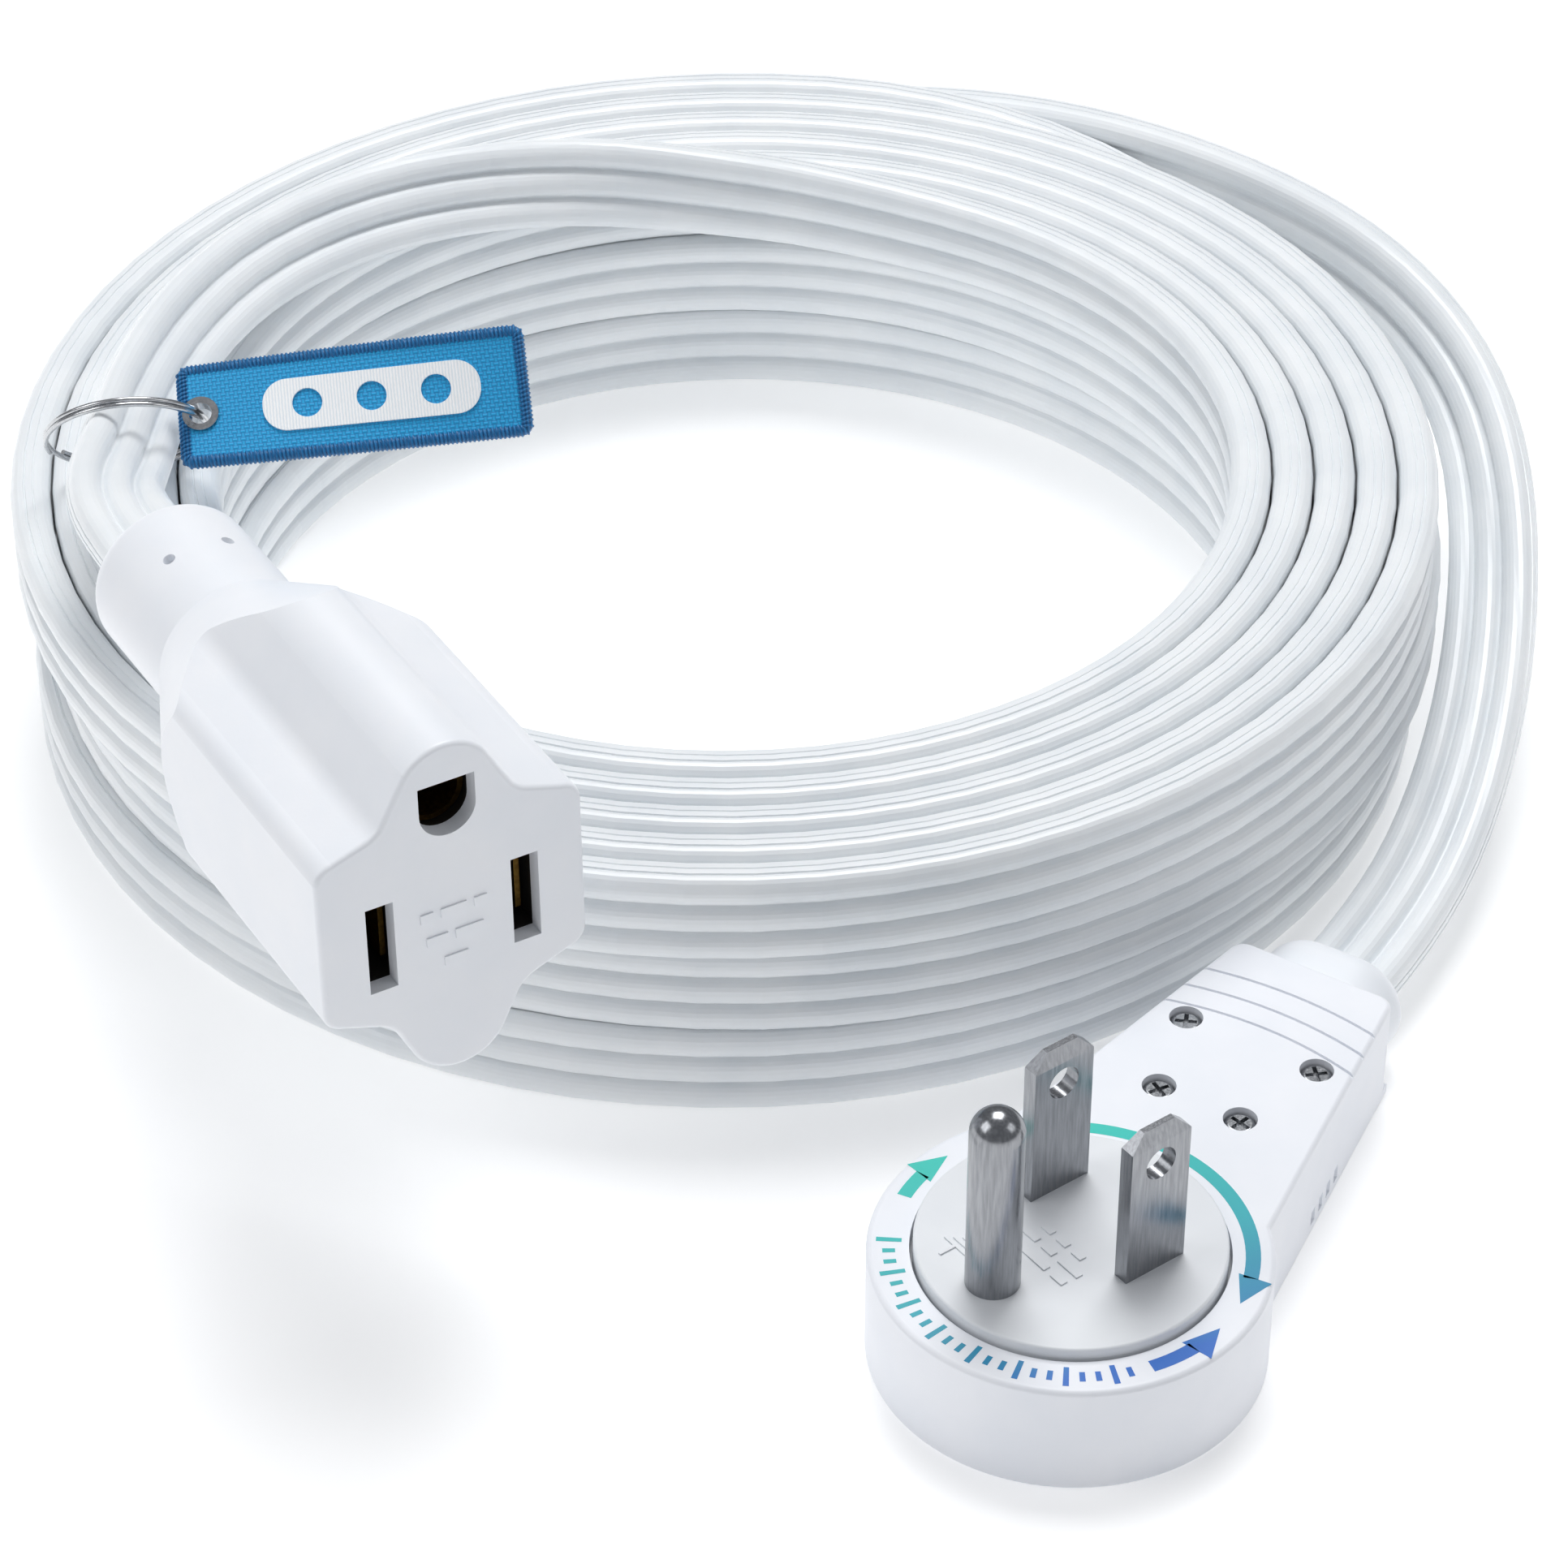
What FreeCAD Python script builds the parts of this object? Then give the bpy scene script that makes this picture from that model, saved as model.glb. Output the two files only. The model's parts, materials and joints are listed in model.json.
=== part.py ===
"""Flat extension cord: a swivelling flat plug, a wound coil of flat cable, a socket and a woven tag.

Millimetres, +Z up, on a floor at Z = 0. The origin is on the plug's swivel axis at the floor.
+Y points from the plug towards the middle of the coil and +X to the right of it.
"""
import FreeCAD, Part
import math
import os

from FreeCAD import Vector, Rotation, Placement

UP = Vector(0, 0, 1)
ALONG_X = Vector(1, 0, 0)
ALONG_Y = Vector(0, 1, 0)
ORIGIN = Vector(0, 0, 0)

# ---- flat cable and its coil -------------------------------------------------------------
CABLE_WIDTH = 9.2          # three cores side by side
CABLE_THICK = 3.9
TUBE_DIA = 5.6             # plain round stand-in for the flat cable where it is not coiled
COIL_CENTRE = Vector(-29.3, 99.4, 0)
COIL_INNER_R = 49.4
COIL_OUTER_R = 71.0
COIL_LEVELS = 3            # the cable stands on edge, one width per level
BROW = 1.2                 # chamfer round the top outer edge
DESCENT_R = 76.4           # outside of the strand that drops from the top level to the floor
DESCENT_START = 66.0       # degrees round the coil
DESCENT_END = 140.0

# Centre line of the cable from the plug to the coil, from the coil's centre.
PLUG_LEAD = [
    (56.53, -57.47, 5.5), (60.34, -51.6, 5.5), (65.8, -41.6, 6.4), (70.0, -31.0, 8.4),
    (73.2, -19.6, 10.8), (75.3, -7.6, 13.8), (76.3, 4.8, 17.0), (75.5, 17.0, 19.6),
    (72.1, 28.5, 21.4), (66.4, 39.5, 22.4), (58.7, 49.1, 22.6), (49.7, 57.1, 22.6),
    (39.2, 64.2, 22.2), (27.9, 69.7, 21.3), (15.7, 73.3, 19.9), (8.0, 74.4, 19.0)]
# The same from the coil's top inner edge to the socket.
SOCKET_LEAD = [
    (8.0, 50.0, 23.9), (-2.0, 50.3, 25.2), (-15.5, 48.6, 27.7), (-28.6, 43.3, 29.9),
    (-40.0, 35.0, 31.5), (-49.0, 24.0, 32.6), (-54.6, 11.0, 33.7), (-57.3, -3.0, 34.7),
    (-57.6, -17.0, 37.0), (-57.8, -23.2, 38.7), (-57.0, -30.0, 40.5), (-54.7, -36.47, 41.75),
    (-51.18, -42.52, 41.87)]

# ---- plug --------------------------------------------------------------------------------
PLUG_TURN = 57.0           # the neck points this far round from +X
HEAD_R = 17.5
NECK_END = 44.2            # from the swivel axis
NECK_HALF = 8.0            # half the neck's width at its end
NECK_SLOPE = 0.155         # growth of that half width towards the head
SHELL_TOP = 11.3
COVER_THICK = 1.2
WALL = 1.7
ROOF = 1.5
ROTOR_TURN = 36.9          # the blades lie this way from the ground pin
ROTOR_R = 13.5
ROTOR_OPENING_R = 13.8
ROTOR_TOP = 12.4
ROTOR_BASE = 7.4
FLANGE_R = 15.2
FLANGE_TOP = 9.5
RING_BASE = 6.2            # underside of the slip rings
SCREWS = [(31.8, 6.65), (31.8, -6.65), (22.4, 4.1), (22.4, -4.1)]
BOSS_R = 2.1
BOSS_JOIN = 4.0            # height where the cover's bosses meet the shell's columns
CARRIER_BASE = 2.6         # insulating plate that holds the wipers
CARRIER_TOP = 3.8
STRAP_BASE = 8.2           # plate from the line blade to the middle contact
STRAP_TOP = 9.0
CABLE_Z = 5.5              # middle of the cable where it enters the plug
PLUG_BOOT_END = 50.0
PLUG_BOOT = (14.0, 10.0)   # soft boot: grip outside the wall, waist in it, flange inside
PLUG_BOOT_WAIST = (11.4, 7.4)
PLUG_BOOT_FLANGE = (13.0, 8.6)
BOOT_HOLE = (11.6, 7.6)    # opening in the wall for the waist
BOOT_NOSE_R = 2.4
NECK_CORNER_R = 1.6
SHELL_RIM_R = 0.5
COVER_RIM_R = 0.4
GRIP_GROOVES = (34.3, 36.9, 39.7)      # radii of the three arcs across the neck
GROOVE_HALF = 0.15
GROOVE_DEPTH = 0.3
GRIP_NOTCHES = (24.0, 26.0, 28.0, 30.0)
NOTCH_R = 0.5
NOTCH_HEIGHT = 1.6
SCREW_HOLE_R = 0.9
SCREW_SINK = 1.5           # depth of the counterbore
SCREW_SINK_R = 1.55
SCREW_HEAD_R = 1.4
SCREW_HEAD_DOWN = 0.45     # top of the head under the face
SCREW_HEAD_ROUND = 0.35
SCREW_SHANK_R = 0.75
SCREW_PILOT_R = 0.8
SCREW_TIP = 1.6
RECESS_REACH = 1.0         # cross recess in the screw's head
RECESS_HALF = 0.2
RECESS_FLOOR = 0.95        # under the face
LIP_GAP = 0.15             # cover's lip inside the shell's wall
LIP_THICK = 0.95
LIP_HEIGHT = 1.0
LIP_BREAK_HALF = 7.0       # the lip stops at the boot
PEG_ANGLES = (60, 180, 300)            # pegs under the wiper carrier
PEG_AT = 11.5
PEG_R = 1.3
GROUND_RING_R = (8.4, 11.6)
NEUTRAL_RING_R = (5.2, 7.2)
CENTRE_CONTACT_R = 3.0
RIVET_R = 1.2
ROTOR_RIM_R = 0.25
MARK_RISE = 0.15           # raised marks
MARK_ROOT = 0.1
LEAF_THICK = 0.4           # wipers
LEAF_FOOT = 16.6
TERMINAL_X = 19.5          # crimped terminals, from the swivel axis
TERMINAL_Y = 7.9
TERMINAL_Z = 5.3
CRIMP_R = 1.5
CRIMP_BORE_R = 0.8
CRIMP_LENGTH = 3.6
COPPER_R = 0.75
COPPER_LENGTH = 3.2
CORE_R = 1.2               # one insulated core
CORE_STEP = 2.95           # between cores in the flat cable
JACKET_END = 37.0
CARRIER_R = 15.4
CARRIER_TONGUE_HALF = 9.4
RETAINER_INNER_R = 13.0
RETAINER_GAP = 0.3         # under the rotor's flange

# ---- blades and pin of a three-prong 15 A plug ---------------------------------------------
BLADE_X = 3.3              # from the swivel axis, in the rotor's own frame
BLADE_Y = 6.35
BLADE_WIDTH = 6.35
BLADE_THICK = 1.5
BLADE_LENGTH = 15.9
PIN_X = -8.6
PIN_R = 2.4
PIN_ROOT_R = 2.2           # the part of the pin that the rotor is moulded round
PIN_SHANK_R = 1.1
TIP_CHAMFER = 1.5
TIP_THINNING = 0.45        # each face of the blade is shaved towards the tip
TIP_SHAVE = 1.6
BLADE_HOLE_R = 1.6
BLADE_HOLE_DOWN = 3.9      # under the tip
PIN_LENGTH = 19.1

# ---- socket ------------------------------------------------------------------------------
SOCKET_AT = COIL_CENTRE + Vector(-22.5, -91.8, 41.0)   # middle of the slots, on the face
SOCKET_HEADING = 30.2      # turn about Z
SOCKET_TILT = -1.0         # nose up, about its own X
FACE_HALF = 12.3
BOOT_START = 41.5
BOOT_END = 57.0
BOOT_R = 7.65
BOOT_Z = 1.86              # axis of the boot above the slot line
SLOT_X = 6.72
SLOT_WIDTH = 2.55
SLOT_HEIGHT = 8.8
GROUND_HOLE_Z = 11.9
FACE_WALL = 1.6
FACE_RIM_R = 0.45
TAPER_START = 24.0
TAPER_FRONT = (15.3, 17.0) # half width and half height of the trimming cone at its start
TAPER_FRONT_Z = 1.55
ROOM_TAPER_START = 26.5
ROOM_TAPER_END = 39.5
ROOM_TAPER_FRONT = (13.0, 14.6)
ROOM_TAPER_BACK_R = 5.4
ROOM_END = 39.0
BOOT_ROOT = 0.4            # the boot starts this far inside the body
BOOT_PIN_AT = 48.5         # two small holes in the top of the boot
BOOT_PIN_LEAN = 22
BOOT_PIN_DEPTH = 0.9
BOOT_PIN_R = 0.6
GROUND_HOLE_R = 2.6
GROUND_HOLE_FLAT = 2.8     # flat of the D above its middle
BLOCK_END = 26.0           # contact block
BLADE_CHAMBER_END = 21.0
PIN_CHAMBER_R = 3.2
PIN_CHAMBER_END = 19.0
SLIT_HALF = 0.35           # slits for the contacts' tails
SLIT_REACH = 1.7
CONTACT_START = 3.0
CONTACT_END = 19.5
CONTACT_HALF = 3.3
CONTACT_LEAF = 0.5
CONTACT_CLEAR = 0.05
TAIL_END = 25.8
TAIL_HALF = 1.5
TAIL_THIN = 0.25
PIN_SLEEVE_R = 2.95
PIN_SLEEVE_BORE_R = 2.45
PIN_SLEEVE_LENGTH = 13.5
PIN_SLEEVE_SLIT = 0.4
SOCKET_CRIMP_START = 26.1
SOCKET_CRIMP_LENGTH = 3.4
SOCKET_BORE_START = 26.6
SOCKET_COPPER_R = 0.7
SOCKET_CABLE_START = 41.0
# Where each core ends behind the face, and where it leaves the flat cable, across the socket.
CORE_ENDS = {"line": (-BLADE_Y, 0.0), "neutral": (BLADE_Y, 0.0), "ground": (0.0, GROUND_HOLE_Z)}
CORE_TAILS = {"line": -CORE_STEP, "neutral": CORE_STEP, "ground": 0.0}

# ---- tag ---------------------------------------------------------------------------------
RING_AT = COIL_CENTRE + Vector(-57.45, -10.0, 35.5)
RING_R = 6.7
RING_WIRE_R = 0.25
RING_LEAN = 46.0           # front of the ring above the level
EYELET_UP = 22.0           # place of the eyelet round the ring, up from its inner side
TAG_LENGTH = 34.0
TAG_HEIGHT = 11.0
EYELET_IN = 2.3            # eyelet's middle from the tag's end
TAG_NEAR_TILT = 30.0       # tilt of the tag's face from level at the eyelet end
TAG_FAR_TILT = 52.0        # and at its free end
BORDER = 0.9               # width of the stitched edge
PANEL_THICK = 1.0
BORDER_THICK = 1.7
BORDER_EYELET_R = 1.8
PANEL_HOLE_R = 1.36
EYELET_R = 1.35
EYELET_HOLE_R = 1.1
FLANGE_OUT_R = 1.75
EYELET_BACK = -0.66
FLANGE_UNDER = 0.55
FLANGE_FACE = 0.75
THROUGH = 3.0              # cutters reach this far past the tag
WIRE_STEP = 0.96           # the two turns of wire lie this share of a radius off the middle
TAG_SECTIONS = 5

TINY = 0.01
BEND_SHARE = 0.45          # share of the shorter run that each arc of the cable's path takes


def add(name, shape, placement=None):
    """Check a shape, move it to its place and write it as one named part."""
    shape = shape.copy()
    if placement is not None:
        shape.transformShape(placement.toMatrix())
    solids = shape.Solids
    if not solids or not shape.isValid():
        print("BAD", name, shape.ShapeType, len(solids))
    result = solids[0] if len(solids) == 1 else Part.makeCompound(solids)
    result.exportStep("parts/" + name + ".step")
    box = result.BoundBox
    print("%-24s %2d solids %9.1f mm3  z %.2f..%.2f"
          % (name, len(solids), result.Volume, box.ZMin, box.ZMax))
    return result


def block(x0, x1, y0, y1, z0, z1):
    return Part.makeBox(x1 - x0, y1 - y0, z1 - z0, Vector(x0, y0, z0))


def rod(radius, z0, z1, x=0.0, y=0.0):
    return Part.makeCylinder(radius, z1 - z0, Vector(x, y, z0), UP)


def tube_ring(inner, outer, z0, z1):
    return rod(outer, z0, z1).cut(rod(inner, z0 - 1, z1 + 1))


def fuse(shapes):
    whole = shapes[0]
    if len(shapes) > 1:
        whole = whole.multiFuse(shapes[1:])
    return whole.removeSplitter()


def prism(wire, vector):
    return Part.Face(wire).extrude(vector)


def oval(width, height):
    """Slot-shaped outline in the YZ plane, rounded at both sides."""
    r = height / 2
    y = width / 2 - r
    edges = [
        Part.LineSegment(Vector(0, -y, -r), Vector(0, y, -r)).toShape(),
        Part.Arc(Vector(0, y, -r), Vector(0, y + r, 0), Vector(0, y, r)).toShape(),
        Part.LineSegment(Vector(0, y, r), Vector(0, -y, r)).toShape(),
        Part.Arc(Vector(0, -y, r), Vector(0, -y - r, 0), Vector(0, -y, -r)).toShape()]
    return Part.Wire(edges)


def oval_bar(width, height, x0, x1, z):
    wire = oval(width, height)
    wire.translate(Vector(x0, 0, z))
    return prism(wire, Vector(x1 - x0, 0, 0))


def bent_rod(points, radius):
    """Round rod through a few points with a ball at each bend."""
    points = [Vector(*p) for p in points]
    pieces = []
    for a, b in zip(points, points[1:]):
        pieces.append(Part.makeCylinder(radius, (b - a).Length, a, b - a))
    for p in points[1:-1]:
        pieces.append(Part.makeSphere(radius, p))
    return fuse(pieces)


# ---- cable -------------------------------------------------------------------------------
def rounded_path(points):
    """Straight runs joined by arcs as large as the shorter run at each corner allows."""
    edges = []
    radii = []
    start = points[0]
    for before, corner, after in zip(points, points[1:], points[2:]):
        into = (corner - before).normalize()
        away = (after - corner).normalize()
        half_turn = into.getAngle(away) / 2
        reach = BEND_SHARE * min((corner - before).Length, (after - corner).Length)
        radius = reach / math.tan(half_turn)
        first = corner - into * reach
        last = corner + away * reach
        inward = (away - into).normalize()
        middle = corner + inward * (radius / math.cos(half_turn) - radius)
        edges.append(Part.LineSegment(start, first).toShape())
        edges.append(Part.Arc(first, middle, last).toShape())
        radii.append(radius)
        start = last
    edges.append(Part.LineSegment(start, points[-1]).toShape())
    return Part.Wire(edges), radii


def cable_tube(name, route):
    points = [COIL_CENTRE + Vector(*p) for p in route]
    path, radii = rounded_path(points)
    circle = Part.Circle(points[0], points[1] - points[0], TUBE_DIA / 2).toShape()
    tube = path.makePipeShell([Part.Wire([circle])], True, False)
    expected = math.pi * TUBE_DIA ** 2 / 4 * path.Length
    print("%s: length %.1f, volume ratio %.4f, radii %s"
          % (name, path.Length, tube.Volume / expected, [round(r) for r in radii]))
    return tube


def cord_coil():
    """The space that the wound turns fill: a ring, wider where one strand drops outside it."""
    height = COIL_LEVELS * CABLE_WIDTH
    ring = tube_ring(COIL_INNER_R, COIL_OUTER_R, 0, height)
    sector = Part.makeCylinder(DESCENT_R, height, ORIGIN, UP, DESCENT_END - DESCENT_START)
    sector.rotate(ORIGIN, UP, DESCENT_START)
    sector = sector.cut(rod(COIL_OUTER_R - 1, -1, height + 1))
    coil = fuse([ring, sector])
    brow = [e for e in coil.Edges if e.BoundBox.ZMin > height - TINY]
    return coil.makeChamfer(BROW, [max(brow, key=lambda e: e.BoundBox.DiagonalLength)])


# ---- plug housing --------------------------------------------------------------------------
def plug_outline(inset=0.0):
    """Round head and tapering neck, seen from above, with the neck along +X."""
    radius = HEAD_R - inset
    end = NECK_END - inset
    # side line y = c - m x, moved in by the inset
    m = NECK_SLOPE
    c = NECK_HALF + m * NECK_END - inset * math.sqrt(1 + m * m)
    # where it meets the head's circle
    x = (c * m + math.sqrt(radius ** 2 * (1 + m * m) - c * c)) / (1 + m * m)
    y = c - m * x
    half = c - m * end
    edges = [
        Part.LineSegment(Vector(end, -half, 0), Vector(end, half, 0)).toShape(),
        Part.LineSegment(Vector(end, half, 0), Vector(x, y, 0)).toShape(),
        Part.Arc(Vector(x, y, 0), Vector(-radius, 0, 0), Vector(x, -y, 0)).toShape(),
        Part.LineSegment(Vector(x, -y, 0), Vector(end, -half, 0)).toShape()]
    return Part.Wire(edges)


def plug_slab(inset, z0, z1):
    wire = plug_outline(inset)
    wire.translate(Vector(0, 0, z0))
    return prism(wire, Vector(0, 0, z1 - z0))


def boot_hole(z=CABLE_Z):
    return oval_bar(*BOOT_HOLE, NECK_END - 6, NECK_END + 4, z)


def plug_front_shell():
    body = plug_slab(0, COVER_THICK, SHELL_TOP)
    upright = [e for e in body.Edges if abs(e.tangentAt(e.FirstParameter).z) > 0.99
               and e.Vertexes[0].X > NECK_END - 1]
    body = body.makeFillet(NECK_CORNER_R, upright)
    rim = [e for e in body.Edges if e.BoundBox.ZMin > SHELL_TOP - TINY]
    body = body.makeFillet(SHELL_RIM_R, rim)
    cavity = plug_slab(WALL, COVER_THICK - 1, SHELL_TOP - ROOF)
    body = body.cut(cavity)
    columns = []
    for x, y in SCREWS:
        columns.append(rod(BOSS_R, BOSS_JOIN, SHELL_TOP - ROOF, x, y))
    body = body.fuse(Part.makeCompound(columns).common(plug_slab(WALL / 2, 0, SHELL_TOP)))
    cuts = [rod(ROTOR_OPENING_R, SHELL_TOP - ROOF - 1, SHELL_TOP + 1), boot_hole()]
    for x, y in SCREWS:
        cuts.append(rod(SCREW_HOLE_R, 0, SHELL_TOP + 1, x, y))
        cuts.append(rod(SCREW_SINK_R, SHELL_TOP - SCREW_SINK, SHELL_TOP + 1, x, y))
    for radius in GRIP_GROOVES:
        groove = tube_ring(radius - GROOVE_HALF, radius + GROOVE_HALF,
                           SHELL_TOP - GROOVE_DEPTH, SHELL_TOP + 1)
        cuts.append(groove.common(block(HEAD_R, NECK_END, -HEAD_R, HEAD_R, 0, 2 * SHELL_TOP)))
    for x in GRIP_NOTCHES:
        cuts.append(grip_notch(x, -1))
        cuts.append(grip_notch(x, 1))
    return body.cut(cuts).removeSplitter()


def grip_notch(x, side):
    """Shallow finger notch in the lower edge of the neck's side."""
    y = side * (NECK_HALF + NECK_SLOPE * (NECK_END - x))
    return rod(NOTCH_R, COVER_THICK, COVER_THICK + NOTCH_HEIGHT, x, y)


def plug_back_cover():
    plate = plug_slab(0, 0, COVER_THICK)
    foot = [e for e in plate.Edges if e.BoundBox.ZMax < TINY]
    plate = plate.makeFillet(COVER_RIM_R, foot)
    lip = plug_slab(WALL + LIP_GAP, COVER_THICK, COVER_THICK + LIP_HEIGHT)
    lip = lip.cut(plug_slab(WALL + LIP_GAP + LIP_THICK, 0, SHELL_TOP))
    lip = lip.cut(block(NECK_END - 4, NECK_END + 1, -LIP_BREAK_HALF, LIP_BREAK_HALF, 0, SHELL_TOP))
    pieces = [plate, lip]
    bosses = [rod(BOSS_R - 0.2, COVER_THICK - 0.2, BOSS_JOIN, x, y) for x, y in SCREWS]
    pieces.append(Part.makeCompound(bosses).common(plug_slab(WALL + LIP_GAP, 0, BOSS_JOIN)))
    for angle in PEG_ANGLES:
        place = Rotation(UP, angle).multVec(Vector(PEG_AT, 0, 0))
        pieces.append(rod(PEG_R, COVER_THICK - 0.2, CARRIER_BASE, place.x, place.y))
    cover = fuse(pieces)
    for x, y in SCREWS:
        cover = cover.cut(rod(SCREW_PILOT_R, SCREW_TIP / 2, BOSS_JOIN + 1, x, y))
    return cover


# ---- rotor and its current path ------------------------------------------------------------
def blade(side, foot):
    """Flat blade with a chamfered tip and a round hole near it."""
    tip = ROTOR_TOP + BLADE_LENGTH
    x0 = BLADE_X - BLADE_WIDTH / 2
    x1 = BLADE_X + BLADE_WIDTH / 2
    y = side * BLADE_Y
    half = BLADE_THICK / 2
    cut = TIP_CHAMFER
    thin = half - TIP_THINNING
    face = Part.makePolygon([
        Vector(x0, y - half, foot), Vector(x1, y - half, foot), Vector(x1, y - half, tip - cut),
        Vector(x1 - cut, y - half, tip), Vector(x0 + cut, y - half, tip),
        Vector(x0, y - half, tip - cut), Vector(x0, y - half, foot)])
    body = prism(face, Vector(0, BLADE_THICK, 0))
    for edge_side in (-1, 1):
        wedge = Part.makePolygon([
            Vector(x0 - 1, y + edge_side * half, tip - TIP_SHAVE),
            Vector(x0 - 1, y + edge_side * (half + 1), tip + 1),
            Vector(x0 - 1, y + edge_side * thin, tip + 1),
            Vector(x0 - 1, y + edge_side * thin, tip),
            Vector(x0 - 1, y + edge_side * half, tip - TIP_SHAVE)])
        body = body.cut(prism(wedge, Vector(BLADE_WIDTH + 2, 0, 0)))
    hole = Part.makeCylinder(BLADE_HOLE_R, 6, Vector(BLADE_X, y - 3, tip - BLADE_HOLE_DOWN), ALONG_Y)
    return body.cut(hole)


def line_blade():
    return blade(1, STRAP_TOP)


def neutral_blade():
    """This blade has a tongue that is riveted to its slip ring."""
    y = -BLADE_Y
    tongue = block(0.6, 2.2, y - 0.6, y + 0.6, ROTOR_BASE, STRAP_BASE)
    return blade(-1, STRAP_BASE).fuse(tongue).removeSplitter()


def ground_pin():
    tip = ROTOR_TOP + PIN_LENGTH
    shank = rod(PIN_SHANK_R, ROTOR_BASE, STRAP_BASE, PIN_X, 0)
    root = rod(PIN_ROOT_R, STRAP_BASE, ROTOR_TOP, PIN_X, 0)
    body = rod(PIN_R, ROTOR_TOP, tip - PIN_R, PIN_X, 0)
    dome = Part.makeSphere(PIN_R, Vector(PIN_X, 0, tip - PIN_R))
    return fuse([shank, root, body, dome])


def ground_slip_ring():
    return tube_ring(*GROUND_RING_R, RING_BASE, ROTOR_BASE)


def neutral_slip_ring():
    return tube_ring(*NEUTRAL_RING_R, RING_BASE, ROTOR_BASE)


def line_centre_contact():
    return fuse([rod(CENTRE_CONTACT_R, RING_BASE, ROTOR_BASE),
                 rod(RIVET_R, ROTOR_BASE, STRAP_BASE)])


def line_strap():
    return block(0.2, 3.2, -1.5, BLADE_Y + 0.75, STRAP_BASE, STRAP_TOP).fuse(
        block(-1.5, 0.2, -1.5, 1.5, STRAP_BASE, STRAP_TOP)).removeSplitter()


def earth_symbol(x, y):
    """Raised earth sign: a stem and three bars, reading away from the pin."""
    z0 = ROTOR_TOP - MARK_ROOT
    z1 = ROTOR_TOP + MARK_RISE
    marks = [block(x - 1.6, x, y - 0.15, y + 0.15, z0, z1)]
    for step, half in enumerate((1.4, 0.9, 0.4)):
        at = x + 0.15 + 0.6 * step
        marks.append(block(at - 0.15, at + 0.15, y - half, y + half, z0, z1))
    return marks


def raised_bars():
    """Rows of short raised bars in place of moulded lettering."""
    bars = []
    z0 = ROTOR_TOP - MARK_ROOT
    z1 = ROTOR_TOP + MARK_RISE
    for row, lengths in enumerate(((1.5, 3.4, 1.5), (2.6, 1.4, 2.6), (1.2, 1.2, 1.2))):
        x = -4.4 + 1.6 * row
        y = -(sum(lengths) + 0.8 * (len(lengths) - 1)) / 2
        for length in lengths:
            bars.append(block(x, x + 0.7, y, y + length, z0, z1))
            y += length + 0.8
    return bars


def plug_rotor(inlays):
    disc = fuse([rod(ROTOR_R, ROTOR_BASE, ROTOR_TOP), rod(FLANGE_R, ROTOR_BASE, FLANGE_TOP)])
    rim = [e for e in disc.Edges if e.BoundBox.ZMin > ROTOR_TOP - TINY]
    disc = disc.makeFillet(ROTOR_RIM_R, rim)
    disc = disc.fuse(earth_symbol(-8.6, 5.2) + raised_bars()).removeSplitter()
    for piece in inlays:
        disc = disc.cut(piece)
    return disc


def leaf_wiper(y, half, contact_x, tail_y=None, tail_half=None):
    """Sprung leaf that presses up on a slip ring, lying along the neck."""
    thick = LEAF_THICK
    outline = [(TERMINAL_X, CARRIER_TOP), (contact_x + 8.0, CARRIER_TOP), (contact_x + 1.4, 5.1),
               (contact_x, CABLE_Z), (contact_x - 1.4, CABLE_Z - 0.5)]
    points = [Vector(x, y - half, z) for x, z in outline]
    points += [Vector(x, y - half, z + thick) for x, z in reversed(outline)]
    leaf = prism(Part.makePolygon(points + points[:1]), Vector(0, 2 * half, 0))
    if tail_y is not None:
        low = min(tail_y - tail_half, y - half)
        high = max(tail_y + tail_half, y + half)
        leaf = leaf.fuse(block(LEAF_FOOT, TERMINAL_X, low, high,
                               CARRIER_TOP, CARRIER_TOP + thick))
    return leaf.removeSplitter()


def wiper_carrier():
    disc = rod(CARRIER_R, CARRIER_BASE, CARRIER_TOP)
    tongue = block(PEG_AT, TERMINAL_X + 0.5, -CARRIER_TONGUE_HALF, CARRIER_TONGUE_HALF,
                   CARRIER_BASE, CARRIER_TOP)
    return fuse([disc, tongue]).common(plug_slab(WALL + 0.2, 0, SHELL_TOP))


def rotor_retainer():
    ring = tube_ring(RETAINER_INNER_R, CARRIER_R, CARRIER_TOP, ROTOR_BASE - RETAINER_GAP)
    return ring.cut(block(8, 17, -9.8, 9.8, CARRIER_TOP - 1, CARRIER_TOP + 1.6))


def crimp_sleeve(y):
    """Rolled terminal barrel on a wiper's tail."""
    start = Vector(TERMINAL_X, y, TERMINAL_Z)
    barrel = Part.makeCylinder(CRIMP_R, CRIMP_LENGTH, start, ALONG_X)
    bore = Part.makeCylinder(CRIMP_BORE_R, CRIMP_LENGTH, start + ALONG_X * LEAF_THICK, ALONG_X)
    base = CARRIER_TOP + LEAF_THICK
    foot = block(TERMINAL_X - 2.3, TERMINAL_X, y - CORE_R, y + CORE_R, base, base + 0.5)
    step = block(TERMINAL_X - 0.3, TERMINAL_X + LEAF_THICK, y - CORE_R, y + CORE_R, base, CABLE_Z)
    return fuse([barrel, foot, step]).cut(bore)


def plug_core(y_tail, y_end):
    """One insulated core from the cable's end to its terminal, with bare copper in the barrel."""
    mid = TERMINAL_Z
    jacket = [(JACKET_END, y_tail, CABLE_Z), (30.0, y_tail, mid), (25.4, y_end, mid), (23.1, y_end, mid)]
    if abs(y_tail - y_end) < 0.1:
        jacket = [jacket[0], jacket[-1]]
    copper = Part.makeCylinder(COPPER_R, COPPER_LENGTH,
                               Vector(TERMINAL_X + LEAF_THICK, y_end, mid), ALONG_X)
    return fuse([bent_rod(jacket, CORE_R), copper])


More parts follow.
